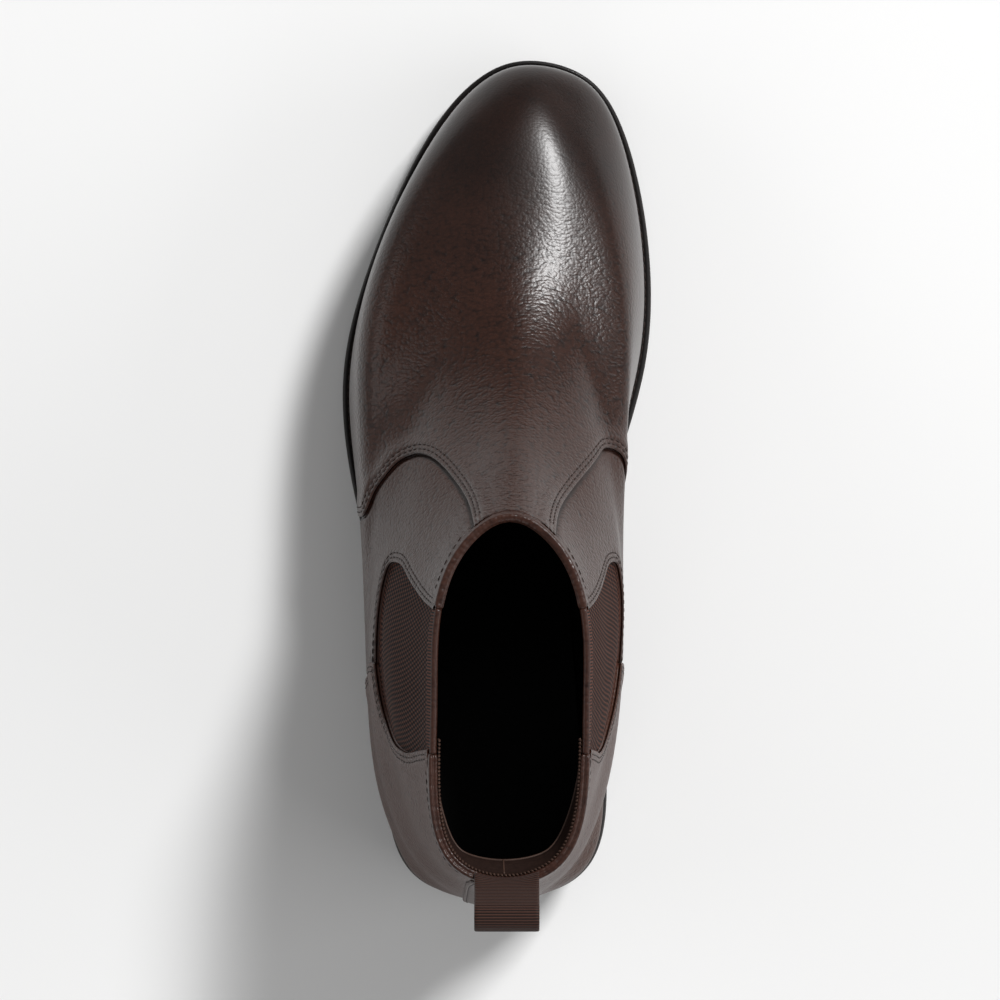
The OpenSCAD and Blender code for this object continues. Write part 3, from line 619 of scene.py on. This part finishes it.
def edge_columns(edge, across, t, line, steps):
    """th of the points at given distances in from an edge, along each row of constant t."""
    reach = np.linspace(0, 1, 50) ** 1.3
    th = edge[:, None] + 0.48 * across[:, None] * reach
    d = np.maximum.accumulate(line_distance(skin(th, t[:, None]), line), axis=1)
    d[:, 0] = 0
    d += np.arange(d.shape[1]) * 1e-6
    inside = np.maximum(steps, 0)
    columns = np.stack([np.interp(inside, row_d, row_th) for row_d, row_th in zip(d, th)])
    per_mm = np.stack([np.interp([1.0], row_d, row_th) for row_d, row_th in zip(d, th)]) - edge[:, None]
    return columns + per_mm * np.minimum(steps, 0)


def panel(name, first, last, t, kinds, lifts, material, columns, grain):
    """A leather panel between two edge curves th(t), each with the kind of its edge and how far it lifts."""
    a, b = first(t), last(t)
    lines = edge_line(first), edge_line(last)
    steps_a, steps_b = (np.array(EDGES[k][0], float) for k in kinds)
    th_a = edge_columns(a, b - a, t, lines[0], steps_a)
    th_b = edge_columns(b, a - b, t, lines[1], steps_b)
    s = np.linspace(0, 1, columns + 2)[1:-1]
    middle = th_a[:, -1:] * (1 - s) + th_b[:, -1:] * s
    th = np.concatenate([th_a, middle, th_b[:, ::-1]], 1)
    tt = np.broadcast_to(t[:, None], th.shape)
    p = skin(th, tt)
    outer = np.zeros(th.shape)
    for i, (kind, lift, line, steps) in enumerate(zip(kinds, lifts, lines, (steps_a, steps_b))):
        d = line_distance(p, line)
        under = np.zeros(th.shape, bool)
        count = int((steps < 0).sum())
        if count:
            under[:, :count] = i == 0
            under[:, th.shape[1] - count:] |= i == 1
        d = np.where(under, 0, d)
        height = EDGES[kind][1](d, lift)
        if kind == "lapped" and lift == GORE_LIFT:
            below = 1 - ease(GORE_BOTTOM - 0.02, GORE_BOTTOM - 0.004, tt)
            height = height * (1 - below) + tucked(d, TUCK_DROP) * below
        outer = outer + height
    inner = np.minimum(outer - LAP_T, -LEATHER_T)
    pressed = np.clip(1 + 1.2 * np.minimum(outer - 0.1, 0), 0.15, 1)
    return shell_object(name, th, tt, inner, outer, material, grain=grain(p) * pressed)


def vamp_grain(p):
    """Smooth at the toe, pebbled from the ball up."""
    return 0.15 + 0.85 * (1 - ease(205, 278, p[..., 1])) + 0.5 * (1 - ease(130, 200, p[..., 1]))


def quarter_grain(p):
    return np.full(p.shape[:-1], 1.8)


def signed(side, curve):
    return lambda t: side * curve(t)


def vamp_edge(side):
    return lambda t: side * smooth_seam(VAMP_SEAM[side], t, 0.035)


t = climb([vamp_edge(-1), vamp_edge(1), lambda v: 0 * v], T_LOW, TOP_SEAT, ROW_SPACING)
finish_piece(panel("vamp_leather", vamp_edge(-1), vamp_edge(1), t, ("lapped", "lapped"),
                   (VAMP_LIFT, VAMP_LIFT), VAMP, 120, vamp_grain), "upper_leather", "vamp")
SIDES = ((-1, "lateral"), (1, "medial"))
BACK_SEAM = 179.9
for side, word in SIDES:
    t = climb([vamp_edge(side), signed(side, front_edge)], T_LOW, TOP_SEAT, ROW_SPACING)
    finish_piece(panel("front_quarter_leather_" + word, vamp_edge(side), signed(side, front_edge), t,
                       ("tucked", "lapped"), (TUCK_DROP, GORE_LIFT), UPPER, 20, quarter_grain),
                 "upper_leather", "quarter_front_" + word)
    t = climb([signed(side, back_edge), lambda v: 0 * v + 180], T_LOW, TOP_SEAT, ROW_SPACING)
    finish_piece(panel("back_quarter_leather_" + word, signed(side, back_edge),
                       lambda v: side * (0 * v + BACK_SEAM), t, ("lapped", "plain"), (BACK_LIFT, 0), BACK, 36,
                       quarter_grain), "upper_leather", "quarter_back_" + word)

# ---- elastic gores
TOP_SKIVE = 0.38        # share of its depth that a layer loses up to the topline
SKIVE_START = 0.9


def skive(t):
    return 1 - TOP_SKIVE * np.clip((t - SKIVE_START) / (1 - SKIVE_START), 0, 1)


MID_OUT = -1.35         # the gore's face, under the leather's
GORE_T = 1.1
GORE_LAP = 3.0          # degrees that it runs under the quarters
GORE_LOW = 0.545
GORE_MESH = 0.4         # millimetres between its points
GORE_BAND = 7.0         # millimetres of plain ribbed band below the top edge
WEAVE_DEPTH = 0.16


def gore_piece(side, word):
    def front(v):
        return side * (gore_front(v) - GORE_LAP)

    def back(v):
        return side * (gore_back(v) + GORE_LAP)
    t = climb([lambda v: (front(v) + back(v)) / 2], GORE_LOW, 1.0, GORE_MESH)
    a, b = front(t)[:, None], back(t)[:, None]
    widest = lengths_along(skin(np.linspace(a[:, 0], b[:, 0], 60), t[None]), 0)[-1]
    s = np.linspace(0, 1, int(widest.max() / GORE_MESH) + 2)[None]
    th = a * (1 - s) + b * s
    tt = np.broadcast_to(t[:, None], th.shape)
    p = skin(th, tt)
    run_u = lengths_along(p, 1)
    run_u = run_u - run_u[:, run_u.shape[1] // 2][:, None]
    run_v = lengths_along(p, 0)
    run_v = run_v - run_v[-1:]
    band = ease(-GORE_BAND - 0.3, -GORE_BAND + 0.3, run_v)
    weave = np.cos(np.pi * run_u / WEAVE_PITCH[0]) * np.cos(np.pi * run_v / WEAVE_PITCH[1])
    ribs = np.cos(2 * np.pi * run_u / RIB_PITCH)
    outer = MID_OUT + WEAVE_DEPTH * (weave * (1 - band) + 0.3 * ribs * band) + 0.25 * band
    outer = outer * skive(tt)
    cloth = np.stack([run_u, run_v, band], -1)
    gore = shell_object("gore_elastic_" + word, th, tt, outer - GORE_T, outer, GORE, cloth=cloth)
    return finish_piece(gore, "gore_elastic", "gore_" + word)


for side, word in SIDES:
    gore_piece(side, word)

# ---- linings
LINING_OUT = -3.2
LINING_T = 0.7
LINER_DEPTH = 0.6       # of the collar's leather and the heel grip, under the lining's face
LINER_T = 0.5
TOP_THICK = 2.6
PAD_DEPTH = 4.6         # how far the padded back of the lining stands in
PAD_T = 0.93


def lining_depth(th, t):
    """How far in the lining's outer face is, padded round the back below the topline."""
    round_back = np.exp(-((np.abs(th) - 180) / 42) ** 2)
    return LINING_OUT * skive(t) - PAD_DEPTH * round_back * (1 - ease(PAD_T, 1.0, t)) * ease(0.45, 0.85, t)


def plain_shell(name, th, t, depth, thickness, material, slot_name, *nodes):
    th, t = np.broadcast_arrays(th, t)
    outer = lining_depth(th, t) - depth
    obj = shell_object(name, th, t, outer - thickness, outer, material)
    return finish_piece(obj, slot_name, *nodes)


t = np.linspace(-0.005, 0.992, 150)[:, None]
s = np.linspace(-1, 1, 100)[None]
plain_shell("lining_front_cloth", front_edge(t) * s, t, 0, LINING_T, LINING, "lining_textile", "lining_front")
plain_shell("lining_back_cloth", 180 + (180 - front_edge(t)) * s, t, 0, LINING_T, LINING, "lining_textile",
            "lining_back")
MARGIN_SPAN = 72        # degrees to each side of the heel
t = np.linspace(PAD_T, 0.994, 30)[:, None]
plain_shell("collar_lining_leather", 180 + MARGIN_SPAN * s, t, LINER_DEPTH, LINER_T, GRIP, "lining_textile")
GRIP_SPAN = 56
GRIP_START = 0.2
t = np.linspace(GRIP_START, PAD_T - 0.005, 80)[:, None]
plain_shell("heel_grip_suede", 180 + GRIP_SPAN * s, t, LINER_DEPTH, LINER_T, LINING, "lining_textile",
            "heel_grip")

# ---- backstay
BACKSTAY_W = 24.0
BACKSTAY_TOP = 1.2      # its face over the skin
BACKSTAY_RUN = 230      # millimetres up the back for t from 0 to 1, about
STRIP_STEPS = [0, 0.15, 0.4, 0.8, 1.2, 1.6, 2.0, 2.4, 3.2, 5, 7, 9, 10.5]
t = climb([lambda v: 0 * v + 180], 0.02, 0.955, ROW_SPACING)
per_degree = np.linalg.norm(skin(180.5, t) - skin(179.5, t), axis=-1)
d = np.array(STRIP_STEPS, float)
offsets = np.concatenate([d - BACKSTAY_W / 2, [0], (BACKSTAY_W / 2 - d)[::-1]])
th = 180 + offsets[None] / per_degree[:, None]
edge = BACKSTAY_W / 2 - np.abs(offsets)
ends = np.minimum(t - t[0], t[-1] - t)[:, None] * BACKSTAY_RUN
rounding = 0.6 * np.clip(1 - np.minimum(edge[None], ends) / 0.6, 0, 1) ** 2
outer = BACKSTAY_TOP - rounding - 0.2 * np.exp(-((edge[None] - ROW_NEAR) / GROOVE) ** 2) + 0 * th
backstay = shell_object("backstay_leather", th, t[:, None] + 0 * th, 0 * outer - 0.1, outer, BACK,
                        grain=0 * outer + 0.7)
finish_piece(backstay, "upper_leather", "backstay")

# ---- bindings along the topline
BIND_OUT = 0.3          # how far a binding stands out from the leather
BIND_LEG = 3.0          # how far it reaches down


def roll_section(beads, rise=0.55):
    """A binding's section as (out, up), with a leg down each side. A bead is (centre, half width, height)."""
    x = np.linspace(BIND_OUT, -TOP_THICK - BIND_OUT, 33)
    u = 2 * (x - x.min()) / (x.max() - x.min()) - 1
    top = rise * np.sqrt(np.clip(1 - u ** 8, 0, 1)) - 0.3
    for centre, half, height in beads:
        top = np.maximum(top, -0.3 + (rise + height) * np.sqrt(np.clip(1 - ((x - centre) / half) ** 2, 0, 1)))
    over = np.stack([x, top], -1)
    leg = np.array([[BIND_OUT - 0.25, -BIND_LEG], [BIND_OUT - 0.02, -BIND_LEG + 0.3], [BIND_OUT, -1.6]])
    inner = leg[::-1] * [-1, 1] - [TOP_THICK, 0]
    return np.concatenate([leg, over, inner])


def along_top(th, section):
    """Loops of a section (out, up) swept round the topline; it may differ from station to station."""
    p, normal, _, upward = skin_frame(th, np.ones(len(th)))
    return p[:, None] + section[..., :1] * normal[:, None] + section[..., 1:] * unit(upward)[:, None]


def binding(name, first, last, beads, *nodes):
    th = np.linspace(first, last, 260)
    section = roll_section(beads)
    end = np.minimum(th - first, last - th)
    round_end = 1 - 0.35 * np.clip(1 - end / 1.6, 0, 1) ** 2
    middle = np.array([-TOP_THICK / 2, -1.2])
    shaped = middle + (section - middle)[None] * round_end[:, None, None]
    shaped[..., 1] += (0.05 * np.sin(th * 0.9) + 0.04 * np.sin(th * 2.3))[:, None]
    return finish_piece(sweep_object(name, along_top(th, shaped), SMOOTH), "binding_leather", *nodes)


COLLAR_END = 60.5
BACK_BINDING_END = 107.0
binding("collar_binding_front_roll", -COLLAR_END, COLLAR_END, [(-1.2, 1.5, 0.35)],
        "collar_binding_front")
binding("collar_binding_back_roll", BACK_BINDING_END, 360 - BACK_BINDING_END,
        [(-0.45, 0.8, 0.3), (-2.1, 0.8, 0.35)], "collar_binding_back")

# the rolled top edge of each gore
for side, word in SIDES:
    th = side * np.linspace(COLLAR_END, BACK_BINDING_END, 80)
    around = np.linspace(0, 2 * math.pi, 13)[:-1]
    section = np.stack([-TOP_THICK / 2 + 1.25 * np.cos(around), -0.45 + 0.95 * np.sin(around)], -1)
    finish_piece(sweep_object("gore_top_roll_" + word, along_top(th, section[None]), SMOOTH),
                 "binding_leather")

# the overlocked inner edge of the back lining, and the lining's seams
OVERLOCK_START = 102
th = np.linspace(OVERLOCK_START, 360 - OVERLOCK_START, 240)
p, normal, _, upward = skin_frame(th, np.ones(len(th)))
inner_edge = p - (TOP_THICK + 0.62) * normal + 0.1 * unit(upward)
overlock = stitches_object("overlocked_edge", [(inner_edge, -normal)], CORD, pitch=1.3, length=2.2,
                           width=0.85, height=0.5, slant=1.1)
finish_piece(overlock, "thread")
around = np.linspace(0, 2 * math.pi, 9)[:-1]


def cord_inside(name, th, t, radius):
    """A raised cord along the inside of the lining."""
    p, normal, _, _ = skin_frame(th, t)
    p = p + (lining_depth(th, t) - 1.15)[:, None] * normal
    along = unit(np.gradient(p, axis=0))
    side = np.cross(along, normal)
    loops = p[:, None] + radius * (np.cos(around)[None, :, None] * normal[:, None]
                                   + np.sin(around)[None, :, None] * side[:, None])
    finish_piece(sweep_object(name, loops, CORD), "thread")


th = np.linspace(180 - MARGIN_SPAN, 180 + MARGIN_SPAN, 200)
cord_inside("collar_lining_seam", th, PAD_T + 0.004 * np.cos(np.radians(th * 6)), 0.42)
t = np.linspace(PAD_T, 0.985, 40)
cord_inside("back_lining_seam", 180.5 + 0 * t, t, 0.4)

# ---- stitching
STITCH_STEP = 0.8       # millimetres between the points of a row


def rows_beside(curve, low, high, rows, sense, height):
    t = climb([curve], low, high, STITCH_STEP)
    return [seam_row(curve(t), t, sense * d, height) for d in rows]


def stitching(place, rows, **sizes):
    stitches = stitches_object(place + "_stitches", rows, THREAD, **sizes)
    finish_piece(stitches, "thread", "stitching_" + place)


PAIR = (ROW_NEAR, ROW_FAR)
STITCH_SEAT = 0.12      # how deep a thread lies in its row
rows = []
for side, _ in SIDES:
    rows += rows_beside(vamp_edge(side), 0.01, 0.955, PAIR, -side, VAMP_LIFT - STITCH_SEAT)
stitching("vamp", rows)
rows = []
for side, _ in SIDES:
    rows += rows_beside(signed(side, gore_front), GORE_BOTTOM, 0.965, PAIR, -side,
                        GORE_LIFT - STITCH_SEAT)
    rows += rows_beside(signed(side, gore_back), GORE_BOTTOM, 0.965, PAIR, side,
                        BACK_LIFT - STITCH_SEAT)
stitching("gore", rows)
rows = []
for side, _ in SIDES:
    rows += rows_beside(signed(side, lambda v: seam(SIDE_SEAM, v)), 0.01, GORE_BOTTOM, PAIR, side,
                        BACK_LIFT - STITCH_SEAT)
stitching("side_seam", rows)
rows = []
for side in (-1, 1):
    t = climb([lambda v: 0 * v + 180], 0.04, 0.94, STITCH_STEP)
    per_degree = np.linalg.norm(skin(180.5, t) - skin(179.5, t), axis=-1)
    p, normal, _, _ = skin_frame(180 + side * (BACKSTAY_W / 2 - ROW_NEAR) / per_degree, t)
    rows.append((p + (BACKSTAY_TOP - STITCH_SEAT) * normal, normal))
stitching("backstay", rows)
TOPLINE_ROW = 0.968
rows = []
for side in (-1, 1):
    for ends in ((BACK_BINDING_END + 3.0, 160), (seam(VAMP_SEAM[side], TOPLINE_ROW) + 8, COLLAR_END - 0.5)):
        th = side * np.linspace(*ends, 60)
        p, normal, _, _ = skin_frame(th, TOPLINE_ROW + 0 * th)
        rows.append((p + 0.02 * normal, normal))
stitching("topline", rows)

# ---- sole
WELT_TOP = OUTSOLE_T + WELT_T
RING = np.arange(0, 360, 1.0)


def sole_loops(section, stations):
    """Loops round the sole; a section is a list of (inset, height over the sole's underside)."""
    loops = []
    for inset, height in section:
        p = outline_in(stations, np.full(len(stations), float(inset)))
        loops.append(np.column_stack([p, sole_z(p[:, 1]) + height]))
    return np.stack(loops, 1)


def capped_layer(name, section, material):
    """A solid layer of the sole; its flat top and bottom run straight across from side to side."""
    loops = sole_loops(section, RING)
    m, n = loops.shape[:2]
    faces = grid_faces(m, n, wrap_m=True).tolist()
    half = m // 2
    for j, flip in ((0, 1), (n - 1, 0)):
        for i in range(half):
            quad = [i * n + j, (i + 1) * n + j, ((m - i - 1) % m) * n + j, ((m - i) % m) * n + j]
            quad = list(dict.fromkeys(quad))
            faces.append(quad[::-1] if flip else quad)
    obj = make_object(name, placed(loops.reshape(-1, 3)), faces, material)
    fix_normals(obj)
    return obj


outsole = capped_layer("outsole_leather", [(1.6, 0), (0.7, 0.12), (0.2, 0.5), (0, 1.2), (0, OUTSOLE_T - 0.8),
                                           (0.15, OUTSOLE_T - 0.25), (0.6, OUTSOLE_T)], SOLE)
finish_piece(outsole, "sole_leather", "outsole")


def ring_piece(name, section, stations, node_name):
    finish_piece(sweep_object(name, sole_loops(section, stations), WELT), "welt_leather", node_name)


low, high = OUTSOLE_T + 0.1, WELT_TOP
WELT_SECTION = [(9, low), (0.9, low), (0.4, low + 0.3), (0.3, low + 0.9), (0.3, high - 0.9),
                (0.5, high - 0.3), (1.0, high), (1.5, high), (1.9, high - 0.18), (2.5, high - 0.18),
                (2.9, high), (9, high)]
back_half = np.arange(179.5, 89.5, -0.5)
breast_th = np.interp(HEEL_BREAST, outline(back_half)[:, 1], back_half)
front_ring = np.linspace(-breast_th, breast_th, 300)
back_ring = np.linspace(breast_th + 0.3, 360 - breast_th - 0.3, 120)
ring_piece("welt_strip", WELT_SECTION, front_ring, "welt")
RAND_SECTION = [(9, low), (0.9, low), (0.4, low + 0.3), (0.3, low + 1.2), (0.4, high - 0.8), (0.9, high),
                (9, high)]
ring_piece("heel_rand_strip", RAND_SECTION, back_ring, "heel_rand")
th = np.linspace(-breast_th + 2, breast_th - 2, 900)
p = outline_in(th, np.full(len(th), 2.2))
row = np.column_stack([p, sole_z(p[:, 1]) + WELT_TOP - 0.14])
stitching("welt", [(row, np.tile([0, 0, 1.0], (len(row), 1)))], pitch=3.0, length=2.5, width=0.55,
          height=0.25)

# ---- heel
LIFTS = 4
TOP_PIECE_T = 6.0
LIFT_STEP = (HEEL_H - TOP_PIECE_T) / LIFTS
HEEL_INSET = 0.6
HEEL_PITCH = 0.35       # how much smaller each lift is than the one above
ROUND_OFF = 0.35        # of a lift's edges
BREAST_R = 60.0
BREAST_HOLLOW = 4.0
NAIL_ANGLES = (128, 145, 180, 215, 232)
NAIL_INSET = 13.0
NAIL_HOLE_R = 1.2


def heel_loop(inset, breast):
    """Outline of a heel slab: round the back, then along the hollow front face."""
    th = np.arange(90, 270.1, 1.0)
    p = outline_in(th, np.full(len(th), inset))
    p = p[p[:, 1] < breast - 0.2]
    ends = [p[0].copy(), p[-1].copy()]
    for end in ends:
        end[1] = breast
    x = np.linspace(ends[1][0], ends[0][0], 41)
    y = breast - BREAST_HOLLOW + BREAST_R - np.sqrt(BREAST_R ** 2 - np.minimum(np.abs(x), BREAST_R) ** 2)
    return np.concatenate([p, np.column_stack([x, np.minimum(y, breast)])])


def shrink(loop, d):
    """Moves each point of a loop inwards by d."""
    along = unit(np.roll(loop, -1, 0) - np.roll(loop, 1, 0))
    return loop + d * np.column_stack([along[:, 1], -along[:, 0]])


def flat_faces(loop, holes):
    """Triangles that fill a loop outside its holes, and the points they use."""
    loops = [loop] + holes
    points = [Vector(q) for one in loops for q in one]
    edges, base = [], 0
    for one in loops:
        edges += [(base + i, base + (i + 1) % len(one)) for i in range(len(one))]
        base += len(one)
    found, _, faces, _, _, _ = mathutils.geometry.delaunay_2d_cdt(points, edges, [], 1, 1e-5)
    centres = np.array([hole.mean(0) for hole in holes]).reshape(-1, 2)
    out = np.array([list(q) for q in found])
    kept = [f for f in faces if not len(centres) or
            np.linalg.norm(out[list(f)].mean(0) - centres, axis=1).min() > NAIL_HOLE_R * 0.95]
    return out, kept


SHARP_ANGLE = math.radians(50)


def shade_sharp(obj):
    bm = bmesh.new()
    bm.from_mesh(obj.data)
    for edge in bm.edges:
        edge.smooth = not edge.is_manifold or edge.calc_face_angle() < SHARP_ANGLE
    bm.to_mesh(obj.data)
    bm.free()


def heel_slab(name, i, low, high, material, slot_name, *nodes):
    loop = heel_loop(HEEL_INSET + i * HEEL_PITCH, HEEL_BREAST - i * HEEL_PITCH)
    turn = np.linspace(0, 2 * math.pi, 21)[:-1]
    holes = [outline_in(np.array([a]), np.array([NAIL_INSET]))[0]
             + NAIL_HOLE_R * np.column_stack([np.cos(turn), np.sin(turn)]) for a in NAIL_ANGLES]
    sections = [(low, ROUND_OFF), (low + 0.12, 0.1), (low + ROUND_OFF, 0), (high - ROUND_OFF, 0),
                (high - 0.12, 0.1), (high, ROUND_OFF)]
    points = [np.column_stack([shrink(loop, d), np.full(len(loop), z)]) for z, d in sections]
    faces = grid_faces(len(sections), len(loop), wrap_n=True).tolist()
    base = len(sections) * len(loop)
    for hole in holes:
        for z in (low, high):
            points.append(np.column_stack([hole, np.full(len(hole), z)]))
        faces += grid_faces(2, len(hole), start=base, wrap_n=True).tolist()
        base += 2 * len(hole)
    for z in (low, high):
        flat, triangles = flat_faces(shrink(loop, ROUND_OFF), holes)
        points.append(np.column_stack([flat, np.full(len(flat), z)]))
        faces += [[base + k for k in f] for f in triangles]
        base += len(flat)
    obj = make_object(name, placed(np.concatenate(points)), faces, material)
    fix_normals(obj)
    shade_sharp(obj)
    return finish_piece(obj, slot_name, *nodes)


for i in range(1, LIFTS + 1):
    heel_slab(f"heel_lift_leather_{i}", i, HEEL_H - i * LIFT_STEP, HEEL_H - (i - 1) * LIFT_STEP - 0.03, HEEL,
              "heel_stack", f"heel_lift_{i}")
heel_slab("heel_top_rubber", LIFTS + 1, 0, TOP_PIECE_T - 0.05, RUBBER, "heel_rubber", "heel_top_piece")

# ---- pull tab: one ribbon, over the topline and round the loop
TAB_X = 3.4             # its middle, off the boot's centre line
TAB_W = 22.0
TAB_T = 1.5
HINGE = np.array([15.3, 157.6])     # y and z of the fold
LEAN = math.radians(50)             # of the loop, back from upright
LOOP_REACH = 14.5                   # from the fold to the middle of the loop's round end
LOOP_R = 5.2 - TAB_T / 2
RIB_DEPTH = 0.12


def ribbon_path():
    """The ribbon's middle line in the side view (y, z): inner leg, loop, outer leg."""
    back = np.array([-math.sin(LEAN), math.cos(LEAN)])
    left = np.array([-back[1], back[0]])
    centre = HINGE + back * LOOP_REACH
    angle = math.acos(LOOP_R / LOOP_REACH)
    turn = np.linspace(angle, 2 * math.pi - angle, 60)
    loop = centre + LOOP_R * (-np.cos(turn)[:, None] * back + np.sin(turn)[:, None] * -left)
    pinch = TAB_T / 2 + 0.03
    start, end = HINGE + back * 3 - left * pinch, HINGE + back * 3 + left * pinch
    inner_leg = np.array([[16.1, 151.5], [16.0, 154.5]])
    outer_leg = np.array([[13.9, 155.0], [13.6, 151.5]])
    rough = np.concatenate([inner_leg, [start], loop, [end], outer_leg])
    fine = []
    for i in range(len(rough) - 1):
        a, b = rough[max(i - 1, 0)], rough[min(i + 2, len(rough) - 1)]
        steps = max(2, int(np.linalg.norm(rough[i + 1] - rough[i]) / 0.12))
        s = np.linspace(0, 1, steps, endpoint=False)[:, None]
        fine.append(hermite(rough[i], rough[i + 1], (rough[i + 1] - a) / 2, (b - rough[i]) / 2, s))
    return np.concatenate(fine + [rough[-1:]])


path = ribbon_path()
run = lengths_along(path)
even = np.arange(0, run[-1], RIB_STEP / 6)
path = np.column_stack([np.interp(even, run, path[:, k]) for k in (0, 1)])
tangent = unit(np.gradient(path, axis=0))
out = np.column_stack([-tangent[:, 1], tangent[:, 0]])
rib = RIB_DEPTH * np.abs(np.cos(math.pi * even / RIB_STEP))
across = np.array([-0.5, -0.485, -0.45, -0.42, -0.35, -0.2, 0, 0.2, 0.35, 0.42, 0.45, 0.485, 0.5]) * TAB_W
selvedge = np.clip((TAB_W / 2 - np.abs(across)) / 0.5, 0, 1) ** 0.5
front = TAB_T / 2 - RIB_DEPTH + rib[:, None] * (0.3 + 0.7 * selvedge[None])
thick = front * (0.45 + 0.55 * selvedge[None])
bend = 0.0165 * (across[None] + 0.4) ** 2 * (1 - ease(155, 162, path[:, 1]))[:, None]


def ribbon_side(sense):
    y = path[:, :1] + sense * thick * out[:, :1] + bend
    z = path[:, 1:] + sense * thick * out[:, 1:]
    return np.stack([np.broadcast_to(TAB_X + across[None], y.shape), y, z], -1)


loops = np.concatenate([ribbon_side(1), ribbon_side(-1)[:, ::-1]], 1)
around = np.concatenate([across, across[::-1]])
cloth = np.stack(np.broadcast_arrays(around[None], even[:, None], 1.0), -1)
ribbon = sweep_object("pull_tab_ribbon", loops, WEBBING, cloth=cloth)
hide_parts("pull_tab_base", "pull_tab")
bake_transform(ribbon)

# ---- CAD pieces shown as they are
for name, material in (("heel_nails", BRASS), ("steel_shank", STEEL), ("cork_filler", CORK),
                       ("insole_rib", BOARD), ("insole_board", BOARD), ("sock_liner", SOCK),
                       ("toe_puff", BOARD), ("heel_counter", BOARD)):
    node_object = bpy.data.objects[name]
    node_object.data.materials.clear()
    node_object.data.materials.append(material)

# ---- floor, lights and camera
FLOOR_HALF = 3.0
floor = make_object("floor", [(-FLOOR_HALF, -FLOOR_HALF, 0), (FLOOR_HALF, -FLOOR_HALF, 0),
                              (FLOOR_HALF, FLOOR_HALF, 0), (-FLOOR_HALF, FLOOR_HALF, 0)],
                    [(0, 1, 2, 3)], Shading("floor", (0.83, 0.83, 0.828), 0.8).material, smooth=False)
LAMP_TARGET = (0, 0.03, 0.05)


def lamp_at(name, azimuth, elevation, distance, size, power):
    """A softbox in a direction from the boot, in degrees, with +Y at 90."""
    data = bpy.data.lights.new(name, "AREA")
    data.shape = "RECTANGLE"
    data.size, data.size_y = size
    data.energy = power
    lamp = bpy.data.objects.new(name, data)
    bpy.context.scene.collection.objects.link(lamp)
    a, e = math.radians(azimuth), math.radians(elevation)
    place = Vector((math.cos(a) * math.cos(e), math.sin(a) * math.cos(e), math.sin(e))) * distance
    lamp.location = place
    lamp.rotation_euler = (Vector(LAMP_TARGET) - place).to_track_quat("-Z", "Y").to_euler()


lamp_at("key", 50, 50, 4.5, (0.9, 0.9), 185)
lamp_at("key_soft", 62, 48, 4.5, (2.4, 2.4), 8)
lamp_at("left", 172, 30, 3.5, (2.6, 1.0), 12)
lamp_at("right", -12, 27, 6.0, (5.2, 2.0), 84)
lamp_at("heel", -95, 30, 3.0, (2.0, 1.0), 10)

scene = bpy.context.scene
world = bpy.data.worlds.new("studio")
scene.world = world
world.use_nodes = True
world.node_tree.nodes["Background"].inputs["Color"].default_value = (1, 1, 1, 1)
world.node_tree.nodes["Background"].inputs["Strength"].default_value = 0.22
scene.view_settings.view_transform = "Standard"

CAMERA_HEIGHT = 2.0     # metres above the floor
CAMERA_SPOT = (1.1, 144.6)      # millimetres from the heel of the sole
VIEW_WIDTH = 0.368      # metres of floor across the picture
SENSOR = 36.0
camera_data = bpy.data.cameras.new("camera")
camera_data.sensor_width = SENSOR
camera_data.lens = SENSOR * CAMERA_HEIGHT / VIEW_WIDTH
camera_data.clip_end = 20
camera = bpy.data.objects.new("camera", camera_data)
bpy.context.scene.collection.objects.link(camera)
camera.location = (*placed([*CAMERA_SPOT, 0])[:2], CAMERA_HEIGHT)
bpy.context.scene.camera = camera

bpy.context.view_layer.update()
